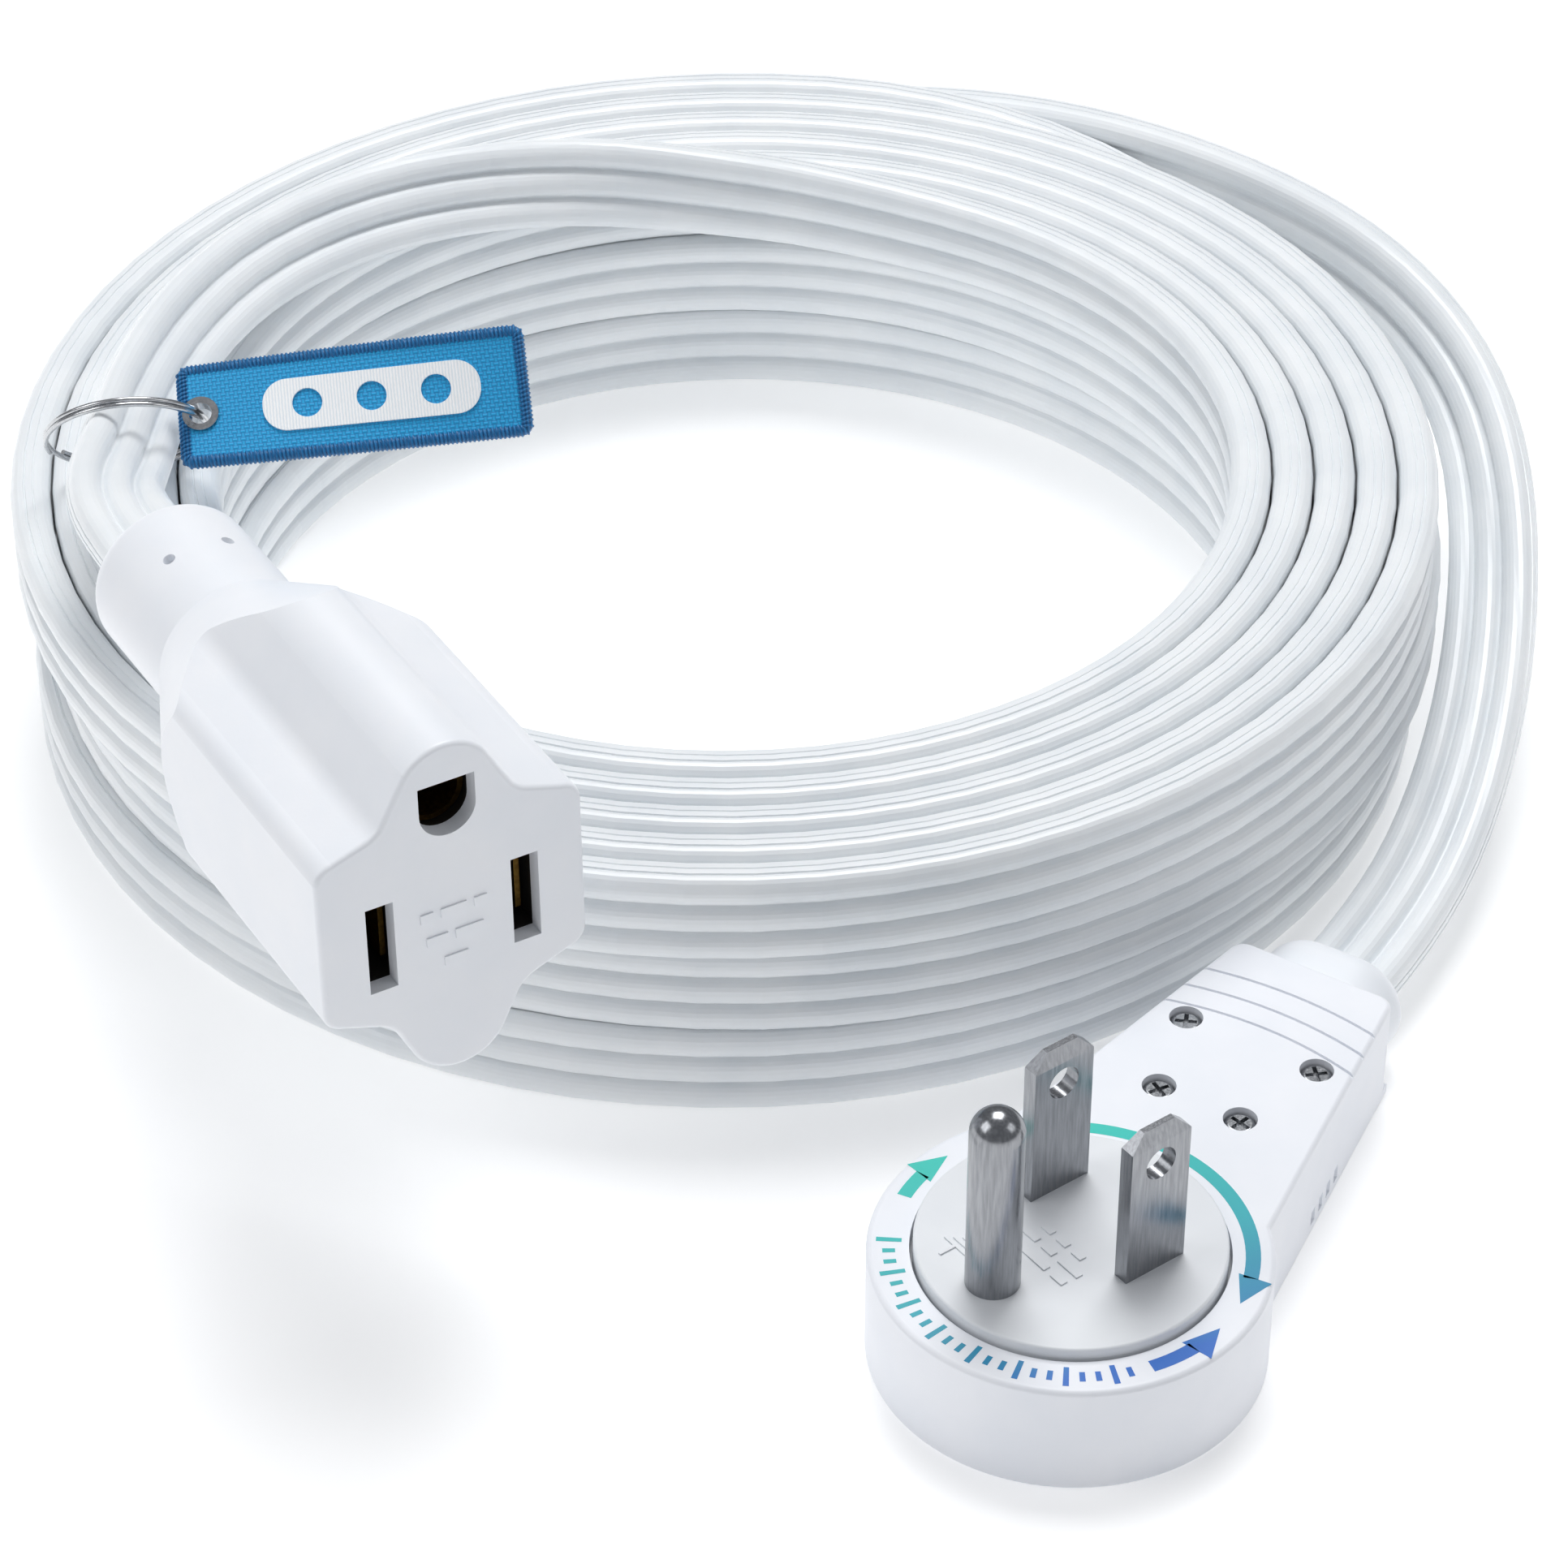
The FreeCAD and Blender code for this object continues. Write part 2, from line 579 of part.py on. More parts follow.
def plug_cable_end():
    """End of the flat cable inside the plug, its jacket whole as far as the clamp."""
    return oval_bar(CABLE_WIDTH, CABLE_THICK, JACKET_END, PLUG_BOOT_END, CABLE_Z)


def plug_cord_boot():
    """Soft collar: flange inside the wall, waist in it and a domed grip outside."""
    inner = oval_bar(*PLUG_BOOT_FLANGE, NECK_END - WALL - 1.5, NECK_END - WALL, CABLE_Z)
    waist = oval_bar(*PLUG_BOOT_WAIST, NECK_END - WALL - 0.2, NECK_END + 0.2, CABLE_Z)
    collar = oval_bar(*PLUG_BOOT, NECK_END, PLUG_BOOT_END, CABLE_Z)
    end = [e for e in collar.Edges if e.BoundBox.XMin > PLUG_BOOT_END - TINY]
    collar = collar.makeFillet(BOOT_NOSE_R, end)
    hole = oval_bar(CABLE_WIDTH, CABLE_THICK, NECK_END - 10, PLUG_BOOT_END + 5, CABLE_Z)
    return fuse([inner, waist, collar]).cut(hole)


def plug_cord_clamp():
    """Bar that the shell presses on the cable's jacket."""
    return block(37.4, 40.4, -5.6, 5.6, 7.5, SHELL_TOP - ROOF)


def case_screws():
    screws = []
    for x, y in SCREWS:
        head_base = SHELL_TOP - SCREW_SINK
        head_top = SHELL_TOP - SCREW_HEAD_DOWN
        head = rod(SCREW_HEAD_R, head_base, head_top, x, y)
        rim = [e for e in head.Edges if e.BoundBox.ZMin > head_top - TINY]
        head = head.makeFillet(SCREW_HEAD_ROUND, rim)
        shank = rod(SCREW_SHANK_R, SCREW_TIP, head_base, x, y)
        screw = fuse([head, shank])
        turn = 25 + 17 * len(screws)
        for angle in (turn, turn + 90):
            slot = block(-RECESS_REACH, RECESS_REACH, -RECESS_HALF, RECESS_HALF,
                         SHELL_TOP - RECESS_FLOOR, SHELL_TOP)
            slot.rotate(ORIGIN, UP, angle)
            slot.translate(Vector(x, y, 0))
            screw = screw.cut(slot)
        screws.append(screw)
    return Part.makeCompound(screws)


# ---- socket --------------------------------------------------------------------------------
def face_outline():
    """Outline of the face in its own plane: square shoulders, a lobe above and one below."""
    top = [(3.7, 16.5), (5.9, 12.6)]
    shoulder = [(7.6, 11.2), (10.6, 10.2)]
    side = [(FACE_HALF, 8.5), (FACE_HALF, -5.3)]
    heel = [(10.9, -7.0), (7.4, -8.3)]
    low = [(5.4, -10.4), (4.3, -12.6)]
    right = top + shoulder + side + heel + low
    points = [Vector(x, 0, z) for x, z in right]
    mirrored = [Vector(-x, 0, z) for x, z in right]
    top_arc = Part.Arc(mirrored[0], Vector(0, 0, 18.4), points[0])
    low_arc = Part.Arc(points[-1], Vector(0, 0, -15.3), mirrored[-1])
    edges = [top_arc.toShape()]
    edges += side_edges(points)
    edges.append(low_arc.toShape())
    edges += side_edges(mirrored)[::-1]
    return Part.Wire(Part.__sortEdges__(edges))


def side_edges(p):
    """One side of the face from the top lobe to the bottom lobe, with rounded corners."""
    sign = 1 if p[0].x > 0 else -1
    joins = [(1, (6.55, 11.75)), (3, (11.75, 9.6)), (5, (11.9, -6.35)), (7, (6.15, -9.15))]
    edges = []
    for index, (x, z) in joins:
        edges.append(Part.LineSegment(p[index - 1], p[index]).toShape())
        edges.append(Part.Arc(p[index], Vector(sign * x, 0, z), p[index + 1]).toShape())
    edges.append(Part.LineSegment(p[8], p[9]).toShape())
    return edges


def y_bar(outline, y0, y1):
    wire = outline.copy()
    wire.translate(Vector(0, y0, 0))
    return prism(wire, Vector(0, y1 - y0, 0))


def ellipse_wire(half_x, half_z, y, z):
    """Upright ellipse; a circle where both halves are the same."""
    wire = Part.Wire([Part.Circle(ORIGIN, Vector(0, 1, 0), 1.0).toShape()])
    matrix = FreeCAD.Matrix()
    matrix.scale(half_x, 1, half_z)
    wire = wire.transformGeometry(matrix)
    wire.translate(Vector(0, y, z))
    return wire


def taper(front_x, front_z, back_r, y0, y1):
    """Cone that trims the body down from its full section to the round boot."""
    front = ellipse_wire(front_x, front_z, y0, TAPER_FRONT_Z)
    back = ellipse_wire(back_r, back_r, y1, BOOT_Z)
    return Part.makeLoft([front, back], True)


def core_section(y0, y1):
    """Room behind the face: a wide part for the blades and a narrow one for the ground."""
    return block(-9.8, 9.8, y0, y1, -5.2, 8.2).fuse(
        block(-3.8, 3.8, y0, y1, 8.0, 15.4)).removeSplitter()


def cable_bar(y0, y1):
    """Straight length of flat cable along the socket's axis."""
    bar = oval_bar(CABLE_WIDTH, CABLE_THICK, y0, y1, 0)
    bar.rotate(ORIGIN, UP, 90)
    bar.translate(Vector(0, 0, BOOT_Z))
    return bar


def ground_hole(y0, y1):
    """D-shaped hole, flat above."""
    r = GROUND_HOLE_R
    z = GROUND_HOLE_Z
    flat = z + GROUND_HOLE_FLAT
    wire = Part.Wire([
        Part.LineSegment(Vector(r, y0, z), Vector(r, y0, flat)).toShape(),
        Part.LineSegment(Vector(r, y0, flat), Vector(-r, y0, flat)).toShape(),
        Part.LineSegment(Vector(-r, y0, flat), Vector(-r, y0, z)).toShape(),
        Part.Arc(Vector(-r, y0, z), Vector(0, y0, z - r), Vector(r, y0, z)).toShape()])
    return prism(wire, Vector(0, y1 - y0, 0))


def face_bars():
    """Three rows of low raised bars on the face in place of moulded lettering."""
    bars = []
    for z, lengths in ((1.5, (1.2, 2.4, 1.2)), (-1.1, (2.0, 2.6)), (-3.6, (2.2,))):
        x = -(sum(lengths) + 0.7 * (len(lengths) - 1)) / 2
        for length in lengths:
            bars.append(block(x, x + length, -0.15, 0.1, z - 0.45, z + 0.45))
            x += length + 0.7
    return bars


def socket_housing():
    body = y_bar(face_outline(), 0, BOOT_START)
    trim = block(-30, 30, -1, TAPER_START, -30, 30).fuse(
        taper(*TAPER_FRONT, BOOT_R, TAPER_START, BOOT_START))
    body = body.common(trim)
    rim = [e for e in body.Edges if e.BoundBox.YMax < TINY]
    body = body.makeFillet(FACE_RIM_R, rim)
    boot = Part.makeCylinder(BOOT_R, BOOT_END - BOOT_START + BOOT_ROOT,
                             Vector(0, BOOT_START - BOOT_ROOT, BOOT_Z), ALONG_Y)
    end = [e for e in boot.Edges if e.BoundBox.YMin > BOOT_END - TINY]
    boot = boot.makeFillet(BOOT_NOSE_R, end)
    body = body.fuse(boot).fuse(face_bars()).removeSplitter()
    room = core_section(FACE_WALL, ROOM_END).common(
        block(-30, 30, 0, ROOM_TAPER_START, -30, 30).fuse(
            taper(*ROOM_TAPER_FRONT, ROOM_TAPER_BACK_R, ROOM_TAPER_START, ROOM_TAPER_END)))
    cuts = [room, cable_bar(BOOT_START - 5, BOOT_END + 5), ground_hole(-1, FACE_WALL + 1)]
    for side in (-1, 1):
        x = side * SLOT_X
        cuts.append(block(x - SLOT_WIDTH / 2, x + SLOT_WIDTH / 2, -1, FACE_WALL + 1,
                          -SLOT_HEIGHT / 2, SLOT_HEIGHT / 2))
        lean = math.radians(side * BOOT_PIN_LEAN)
        out = Vector(math.sin(lean), 0, math.cos(lean))
        start = Vector(0, BOOT_PIN_AT, BOOT_Z) + out * (BOOT_R - BOOT_PIN_DEPTH)
        cuts.append(Part.makeCylinder(BOOT_PIN_R, 3, start, out))
    return body.cut(cuts)


def socket_contact_block():
    """Insulating insert with one chamber behind each opening."""
    body = core_section(FACE_WALL, BLOCK_END)
    cuts = [Part.makeCylinder(PIN_CHAMBER_R, PIN_CHAMBER_END, Vector(0, 0, GROUND_HOLE_Z), ALONG_Y),
            block(-SLIT_REACH, SLIT_REACH, 0, BLOCK_END + 1,
                  GROUND_HOLE_Z - SLIT_HALF, GROUND_HOLE_Z + SLIT_HALF)]
    for side in (-1, 1):
        x = side * BLADE_Y
        cuts.append(block(x - 1.7, x + 1.9, 0, BLADE_CHAMBER_END, -SLOT_HEIGHT / 2, SLOT_HEIGHT / 2))
        cuts.append(block(x - SLIT_HALF, x + SLIT_HALF, 0, BLOCK_END + 1, -SLIT_REACH, SLIT_REACH))
    return body.cut(cuts)


def blade_contact(side):
    """Folded spring contact that grips a blade from both sides."""
    x = side * BLADE_Y
    leaf = CONTACT_LEAF
    gap = BLADE_THICK / 2 + CONTACT_CLEAR
    end = CONTACT_END
    half = CONTACT_HALF
    pieces = [
        block(x - gap - leaf, x - gap, CONTACT_START, end, -half, half),
        block(x + gap, x + gap + leaf, CONTACT_START, end, -half, half),
        block(x - gap - leaf, x + gap + leaf, end - leaf, end, -half, half),
        block(x - TAIL_THIN, x + TAIL_THIN, end - 0.1, TAIL_END, -TAIL_HALF, TAIL_HALF)]
    return fuse(pieces)


def ground_contact():
    """Slit sleeve that grips the round pin."""
    z = GROUND_HOLE_Z
    length = PIN_SLEEVE_LENGTH
    sleeve = Part.makeCylinder(PIN_SLEEVE_R, length, Vector(0, CONTACT_START, z), ALONG_Y)
    bore = Part.makeCylinder(PIN_SLEEVE_BORE_R, length - 0.5, Vector(0, CONTACT_START - 0.5, z), ALONG_Y)
    slit = block(-PIN_SLEEVE_SLIT, PIN_SLEEVE_SLIT, CONTACT_START - 1, length + 0.5, z, z + 4)
    tail = block(-TAIL_HALF, TAIL_HALF, CONTACT_START + length - 0.5, TAIL_END,
                 z - TAIL_THIN, z + TAIL_THIN)
    return fuse([sleeve.cut(bore).cut(slit), tail])


def socket_crimps():
    """Crimped sleeves that join the cores to the contacts."""
    sleeves = []
    for x, z in CORE_ENDS.values():
        sleeve = Part.makeCylinder(CRIMP_R, SOCKET_CRIMP_LENGTH, Vector(x, SOCKET_CRIMP_START, z),
                                   ALONG_Y)
        bore = Part.makeCylinder(COPPER_R, SOCKET_CRIMP_LENGTH, Vector(x, SOCKET_BORE_START, z),
                                 ALONG_Y)
        sleeves.append(sleeve.cut(bore))
    return Part.makeCompound(sleeves)


def socket_core(name):
    x, z = CORE_ENDS[name]
    jacket = bent_rod([(CORE_TAILS[name], SOCKET_CABLE_START, BOOT_Z),
                       (CORE_TAILS[name], 38.4, BOOT_Z), (x, 30.4, z), (x, 29.6, z)], CORE_R)
    copper = Part.makeCylinder(SOCKET_COPPER_R, COPPER_LENGTH, Vector(x, SOCKET_BORE_START, z),
                               ALONG_Y)
    return jacket.fuse(copper).removeSplitter()


# ---- tag -----------------------------------------------------------------------------------
def ring_frame():
    """Directions across the cable, round the front of the ring, and the cable's own heading."""
    across = Vector(0.99, 0.13, 0).normalize()
    heading = Vector(0.13, -0.99, 0).normalize()
    lean = math.radians(RING_LEAN)
    front = heading * math.cos(lean) + UP * math.sin(lean)
    return across, front, heading


def eyelet_place():
    across, front, _ = ring_frame()
    turn = math.radians(EYELET_UP)
    return RING_AT + (across * math.cos(turn) + front * math.sin(turn)) * RING_R


def tag_split_ring():
    """Flat double ring of springy wire."""
    across, front, _ = ring_frame()
    normal = across.cross(front)
    turns = []
    for side in (-1, 1):
        at = RING_AT + normal * (side * WIRE_STEP * RING_WIRE_R)
        turns.append(Part.makeTorus(RING_R, RING_WIRE_R, at, normal))
    return fuse(turns)


def tag_directions(along):
    """Length direction and upward direction of the tag's face, this far along it."""
    length_way = Vector(0.9937, 0.0688, 0.0884).normalize()
    tilt = math.radians(TAG_NEAR_TILT + (TAG_FAR_TILT - TAG_NEAR_TILT) * along / TAG_LENGTH)
    level = UP.cross(length_way).normalize()
    raised = length_way.cross(level).normalize()
    face_up = level * math.cos(tilt) + raised * math.sin(tilt)
    return length_way, face_up.normalize()


def tag_section(along, height, thick):
    length_way, face_up = tag_directions(along)
    normal = length_way.cross(face_up)
    middle = eyelet_place() + length_way * (along - EYELET_IN)
    corners = [(-1, -1), (1, -1), (1, 1), (-1, 1), (-1, -1)]
    return Part.makePolygon([middle + face_up * (a * height / 2) + normal * (b * thick / 2)
                             for a, b in corners])


def tag_slab(start, end, height, thick):
    wires = [tag_section(start + (end - start) * i / (TAG_SECTIONS - 1), height, thick)
             for i in range(TAG_SECTIONS)]
    return Part.makeLoft(wires, True, True)


def eyelet_axis():
    length_way, face_up = tag_directions(EYELET_IN)
    return length_way.cross(face_up).normalize()


def eyelet_rod(radius, low, high):
    axis = eyelet_axis()
    return Part.makeCylinder(radius, high - low, eyelet_place() + axis * low, axis)


def tag_panel():
    panel = tag_slab(BORDER, TAG_LENGTH - BORDER, TAG_HEIGHT - 2 * BORDER, PANEL_THICK)
    return panel.cut(eyelet_rod(PANEL_HOLE_R, -THROUGH, THROUGH))


def tag_edge_binding():
    rim = tag_slab(0, TAG_LENGTH, TAG_HEIGHT, BORDER_THICK)
    window = tag_slab(BORDER, TAG_LENGTH - BORDER, TAG_HEIGHT - 2 * BORDER, THROUGH)
    return rim.cut(window).cut(eyelet_rod(BORDER_EYELET_R, -THROUGH, THROUGH))


def tag_eyelet():
    """Barrel with a rolled flange in front."""
    barrel = eyelet_rod(EYELET_R, EYELET_BACK, FLANGE_UNDER)
    flange = eyelet_rod(FLANGE_OUT_R, FLANGE_UNDER, FLANGE_FACE)
    return fuse([barrel, flange]).cut(eyelet_rod(EYELET_HOLE_R, -THROUGH, THROUGH))


def tag_eyelet_washer():
    washer = eyelet_rod(FLANGE_OUT_R, -FLANGE_FACE, -FLANGE_UNDER)
    return washer.cut(eyelet_rod(EYELET_R, -THROUGH, THROUGH))


# ---- write every part ------------------------------------------------------------------------
def write_cable():
    add("cord_coil", cord_coil(), Placement(COIL_CENTRE, Rotation()))
    add("cord_lead_plug", cable_tube("plug lead", PLUG_LEAD))
    add("cord_lead_socket", cable_tube("socket lead", SOCKET_LEAD))


def write_plug():
    plug = Placement(ORIGIN, Rotation(UP, PLUG_TURN))
    add("plug_front_shell", plug_front_shell(), plug)
    add("plug_back_cover", plug_back_cover(), plug)
    add("plug_cord_boot", plug_cord_boot(), plug)
    add("plug_cord_clamp", plug_cord_clamp(), plug)
    add("plug_cable_end", plug_cable_end(), plug)
    add("plug_case_screws", case_screws(), plug)
    add("plug_wiper_carrier", wiper_carrier(), plug)
    add("plug_rotor_retainer", rotor_retainer(), plug)
    add("plug_line_wiper", leaf_wiper(0.0, 1.0, 0.0), plug)
    add("plug_ground_wiper", leaf_wiper(TERMINAL_Y, 1.0, 6.1), plug)
    add("plug_neutral_wiper", leaf_wiper(-5.2, 0.9, 3.4, -TERMINAL_Y, 1.0), plug)
    crimps = [crimp_sleeve(y) for y in (0.0, TERMINAL_Y, -TERMINAL_Y)]
    add("plug_crimps", Part.makeCompound(crimps), plug)
    add("plug_line_core", plug_core(0.0, 0.0), plug)
    add("plug_ground_core", plug_core(CORE_STEP, TERMINAL_Y), plug)
    add("plug_neutral_core", plug_core(-CORE_STEP, -TERMINAL_Y), plug)


def write_rotor():
    rotor = Placement(ORIGIN, Rotation(UP, ROTOR_TURN))
    inlays = {
        "plug_line_blade": line_blade(), "plug_neutral_blade": neutral_blade(),
        "plug_ground_pin": ground_pin(), "plug_line_strap": line_strap(),
        "plug_line_contact": line_centre_contact()}
    for name, shape in inlays.items():
        add(name, shape, rotor)
    add("plug_rotor", plug_rotor(list(inlays.values())), rotor)
    add("plug_ground_slip_ring", ground_slip_ring(), rotor)
    add("plug_neutral_slip_ring", neutral_slip_ring(), rotor)


def write_socket():
    socket = Placement(SOCKET_AT, Rotation(SOCKET_HEADING, 0, SOCKET_TILT))
    add("socket_housing", socket_housing(), socket)
    add("socket_contact_block", socket_contact_block(), socket)
    add("socket_line_contact", blade_contact(-1), socket)
    add("socket_neutral_contact", blade_contact(1), socket)
    add("socket_ground_contact", ground_contact(), socket)
    add("socket_crimps", socket_crimps(), socket)
    add("socket_cable_end", cable_bar(SOCKET_CABLE_START, BOOT_END), socket)
    for name in CORE_ENDS:
        add("socket_%s_core" % name, socket_core(name), socket)


def write_tag():
    add("tag_panel", tag_panel())
    add("tag_edge_binding", tag_edge_binding())
    add("tag_eyelet", tag_eyelet())
    add("tag_eyelet_washer", tag_eyelet_washer())
    add("tag_split_ring", tag_split_ring())


os.makedirs("parts", exist_ok=True)
write_cable()
write_plug()
write_rotor()
write_socket()
write_tag()
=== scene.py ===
# %% [markdown]
# # A flat extension cord with a swivelling plug
# This lesson dresses a finished CAD frame of an extension cord: a flat white cable wound on edge
# into a round coil, a flat plug whose prongs turn, a moulded socket and a small woven tag.
# The frame holds every size and place. Here each surface gets its shape and its finish.
# All lengths are in metres, so a small helper turns millimetres into metres.

import json
import math

import bpy
import numpy as np
from mathutils import Matrix, Vector


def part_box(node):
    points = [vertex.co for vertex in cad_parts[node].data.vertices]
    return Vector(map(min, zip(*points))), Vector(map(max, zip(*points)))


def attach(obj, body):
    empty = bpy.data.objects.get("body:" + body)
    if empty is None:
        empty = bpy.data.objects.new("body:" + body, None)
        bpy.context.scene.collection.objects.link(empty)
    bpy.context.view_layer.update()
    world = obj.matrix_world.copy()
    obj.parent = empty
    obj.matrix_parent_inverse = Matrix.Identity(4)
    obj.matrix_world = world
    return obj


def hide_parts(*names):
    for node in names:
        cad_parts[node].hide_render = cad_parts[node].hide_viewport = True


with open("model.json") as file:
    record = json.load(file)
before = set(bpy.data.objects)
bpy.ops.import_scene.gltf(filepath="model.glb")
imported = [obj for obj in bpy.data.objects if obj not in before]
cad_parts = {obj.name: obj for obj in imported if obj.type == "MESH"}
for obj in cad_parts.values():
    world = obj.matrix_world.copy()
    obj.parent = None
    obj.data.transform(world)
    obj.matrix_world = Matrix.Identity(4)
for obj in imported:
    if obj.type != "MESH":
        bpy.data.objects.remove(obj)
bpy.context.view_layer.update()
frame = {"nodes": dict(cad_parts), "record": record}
MM = 0.001


def mm(*lengths):
    """Millimetres to metres, as a point when there are several."""
    metres = [value * MM for value in lengths]
    return metres[0] if len(metres) == 1 else Vector(metres)


# %% [markdown]
# ## Camera
# The object is seen from its front and from well above, through a long lens, so the coil's
# ellipse keeps its true proportions. The camera looks at a point just under the middle of the
# coil, because the plug and the socket stand in front of it and need room in the picture.

# %% Camera
COIL_MIDDLE = mm(-29.3, 99.4, 0.0)
CAMERA_TARGET = COIL_MIDDLE + mm(4.83, 0.0, -15.9)
CAMERA_DISTANCE = mm(528.3)
CAMERA_ELEVATION = math.radians(37.907)
SENSOR_MM = 36.0
LENS_MM = 116.55

camera_data = bpy.data.cameras.new("camera")
camera_data.sensor_width = SENSOR_MM
camera_data.lens = LENS_MM
camera = bpy.data.objects.new("camera", camera_data)
back = Vector((0.0, -math.cos(CAMERA_ELEVATION), math.sin(CAMERA_ELEVATION)))
camera.location = CAMERA_TARGET + back * CAMERA_DISTANCE
camera.rotation_euler = (math.pi / 2 - CAMERA_ELEVATION, 0.0, 0.0)
bpy.context.scene.collection.objects.link(camera)
bpy.context.scene.camera = camera

# %% [markdown]
# ## The cable's route
# The cable is one length from the plug to the socket. Near its ends it lies loose, and those
# points are listed one by one. In between it is wound on edge: each level of the coil is a flat
# spiral of five strands, and there are three levels. The first spirals in, the second out and
# the third in again, and between two levels the strand climbs by its own width.
# A quadratic NURBS line runs inside its control polygon, so the points of a round turn stand
# out by one over the cosine of half a step.

PLUG_LEAD = [
    (56.53, -57.47, 5.5), (60.34, -51.6, 5.5), (65.8, -41.6, 6.4), (70.0, -31.0, 8.4),
    (73.2, -19.6, 10.8), (75.3, -7.6, 13.8), (76.3, 4.8, 17.0), (75.5, 17.0, 19.6),
    (72.1, 28.5, 21.4), (66.4, 39.5, 22.4), (58.7, 49.1, 22.6), (49.7, 57.1, 22.6),
    (39.2, 64.2, 22.2), (27.9, 69.7, 21.3), (15.7, 73.3, 19.9)]
PLUG_LEAD_LEAN = [90, 90, 86, 78, 68, 58, 48, 36, 24, 14, 8, 4, 2, 0, 0]
SOCKET_LEAD = [
    (8.0, 50.0, 23.9), (-2.0, 50.3, 25.2), (-15.5, 48.6, 27.7), (-28.6, 43.3, 29.9),
    (-40.0, 35.0, 31.5), (-49.0, 24.0, 32.6), (-54.75, 11.0, 33.5), (-57.6, -3.0, 34.3),
    (-57.9, -17.0, 36.6), (-57.98, -23.2, 38.46), (-57.0, -30.0, 40.5), (-54.7, -36.47, 41.75),
    (-51.18, -42.52, 41.87)]
SOCKET_LEAD_LEAN = [4, 10, 20, 30, 40, 47, 46, 49, 52, 60, 76, 86, 90]

# %% The wound turns
PITCH = 4.1
FIRST_COLUMN_R = 50.9
LEVELS = (4.6, 13.8, 23.0)
STEP_DEG = 15.0
# Degrees wound so far, counted from the right of the coil, where each stage of the winding ends.
OUTSIDE_START, BOTTOM_START, BOTTOM_END = 91.0, 185.0, 1675.0
MIDDLE_START, MIDDLE_END, TOP_START, TOP_END = 1765.0, 3255.0, 3315.0, 5108.0
OUTER_COLUMN = 5.3
# The strand from the plug starts outside the coil, comes closer in two steps and drops behind it.
START_COLUMN = 6.85
FIRST_STEP, FIRST_STEP_FROM, FIRST_STEP_TO = 1.2, 115.0, 140.0
SECOND_STEP = 0.35
DROP, DROP_FROM, DROP_TO = 16.3, 62.0, 182.0
CLIMB_BOW = 0.12
LAST_STEP_OUT, LAST_STEP_BACK = 0.6, 0.1
INNER_COLUMN = OUTER_COLUMN - (BOTTOM_END - BOTTOM_START) / 360
TOP_COLUMN = 5.8


def smooth(value, low, high):
    """0 below low, 1 above high, and an even S between them."""
    t = min(1.0, max(0.0, (value - low) / (high - low)))
    return t * t * (3 - 2 * t)


def wound_place(turned):
    """Column and height of the strand, by the degrees wound so far."""
    low, middle, high = LEVELS
    if turned < BOTTOM_START:
        column = (START_COLUMN - FIRST_STEP * smooth(turned, FIRST_STEP_FROM, FIRST_STEP_TO)
                  - SECOND_STEP * smooth(turned, FIRST_STEP_TO, BOTTOM_START))
        return column, low + DROP * (1 - smooth(turned, DROP_FROM, DROP_TO))
    if turned < BOTTOM_END:
        return OUTER_COLUMN - (turned - BOTTOM_START) / 360, low
    if turned < MIDDLE_START:
        done = (turned - BOTTOM_END) / (MIDDLE_START - BOTTOM_END)
        column = INNER_COLUMN - CLIMB_BOW * math.sin(math.pi * done)
        return column, low + (middle - low) * smooth(done, 0, 1)
    if turned < MIDDLE_END:
        return INNER_COLUMN + (turned - MIDDLE_START) / 360, middle
    if turned < TOP_START:
        column = (OUTER_COLUMN + LAST_STEP_OUT * smooth(turned, 3250, 3272)
                  - LAST_STEP_BACK * smooth(turned, 3290, TOP_START))
        return column, middle + (high - middle) * smooth(turned, MIDDLE_END, TOP_START)
    return TOP_COLUMN - (turned - TOP_START) / 360, high


def wound_points():
    """Control points of all the turns, from the plug's lead to the socket's lead."""
    stand_out = 1 / math.cos(math.radians(STEP_DEG / 2))
    points = []
    for turned in np.arange(OUTSIDE_START, TOP_END, STEP_DEG):
        column, height = wound_place(turned)
        radius = (FIRST_COLUMN_R + PITCH * (column - 1)) * stand_out
        angle = math.radians(turned)
        points.append((radius * math.cos(angle), radius * math.sin(angle), height))
    return points


turns = wound_points()
route = PLUG_LEAD + turns + SOCKET_LEAD
route_lean = PLUG_LEAD_LEAN + [0] * len(turns) + SOCKET_LEAD_LEAN
print("Route:", len(route), "points,", round(len(turns) * STEP_DEG / 360, 1), "turns wound")

# %% [markdown]
# ## The cable itself
# A flat three-core cable has three round-backed lobes with two narrow webs between them. A
# bevelled curve could carry that outline, but its roll would be hard to steer where the cable
# twists from lying flat to standing on edge. So the line is read back from the NURBS curve and
# the outline is set along it by hand: at each point the width leans outwards from upright by
# the angle given for the route there.

# %% Line of the cable
def read_line(points, steps):
    """Points along the NURBS line of a route given in millimetres from the coil's middle."""
    data = bpy.data.curves.new("route", "CURVE")
    data.dimensions = "3D"
    spline = data.splines.new("NURBS")
    spline.points.add(len(points) - 1)
    for place, point in zip(spline.points, points):
        place.co = (*(COIL_MIDDLE + mm(*point)), 1.0)
    spline.order_u = 3
    spline.use_endpoint_u = True
    spline.resolution_u = steps
    holder = bpy.data.objects.new("route", data)
    mesh = bpy.data.meshes.new_from_object(holder)
    line = np.array([vertex.co[:] for vertex in mesh.vertices])
    bpy.data.meshes.remove(mesh)
    bpy.data.objects.remove(holder)
    bpy.data.curves.remove(data)
    return line


def lean_along(leans, count):
    """Lean at each point of the line, in radians."""
    last = len(leans) - 2
    knots = [0.0] + [index - 0.5 for index in range(1, len(leans) - 1)] + [last]
    return np.radians(np.interp(np.linspace(0, last, count), knots, leans))


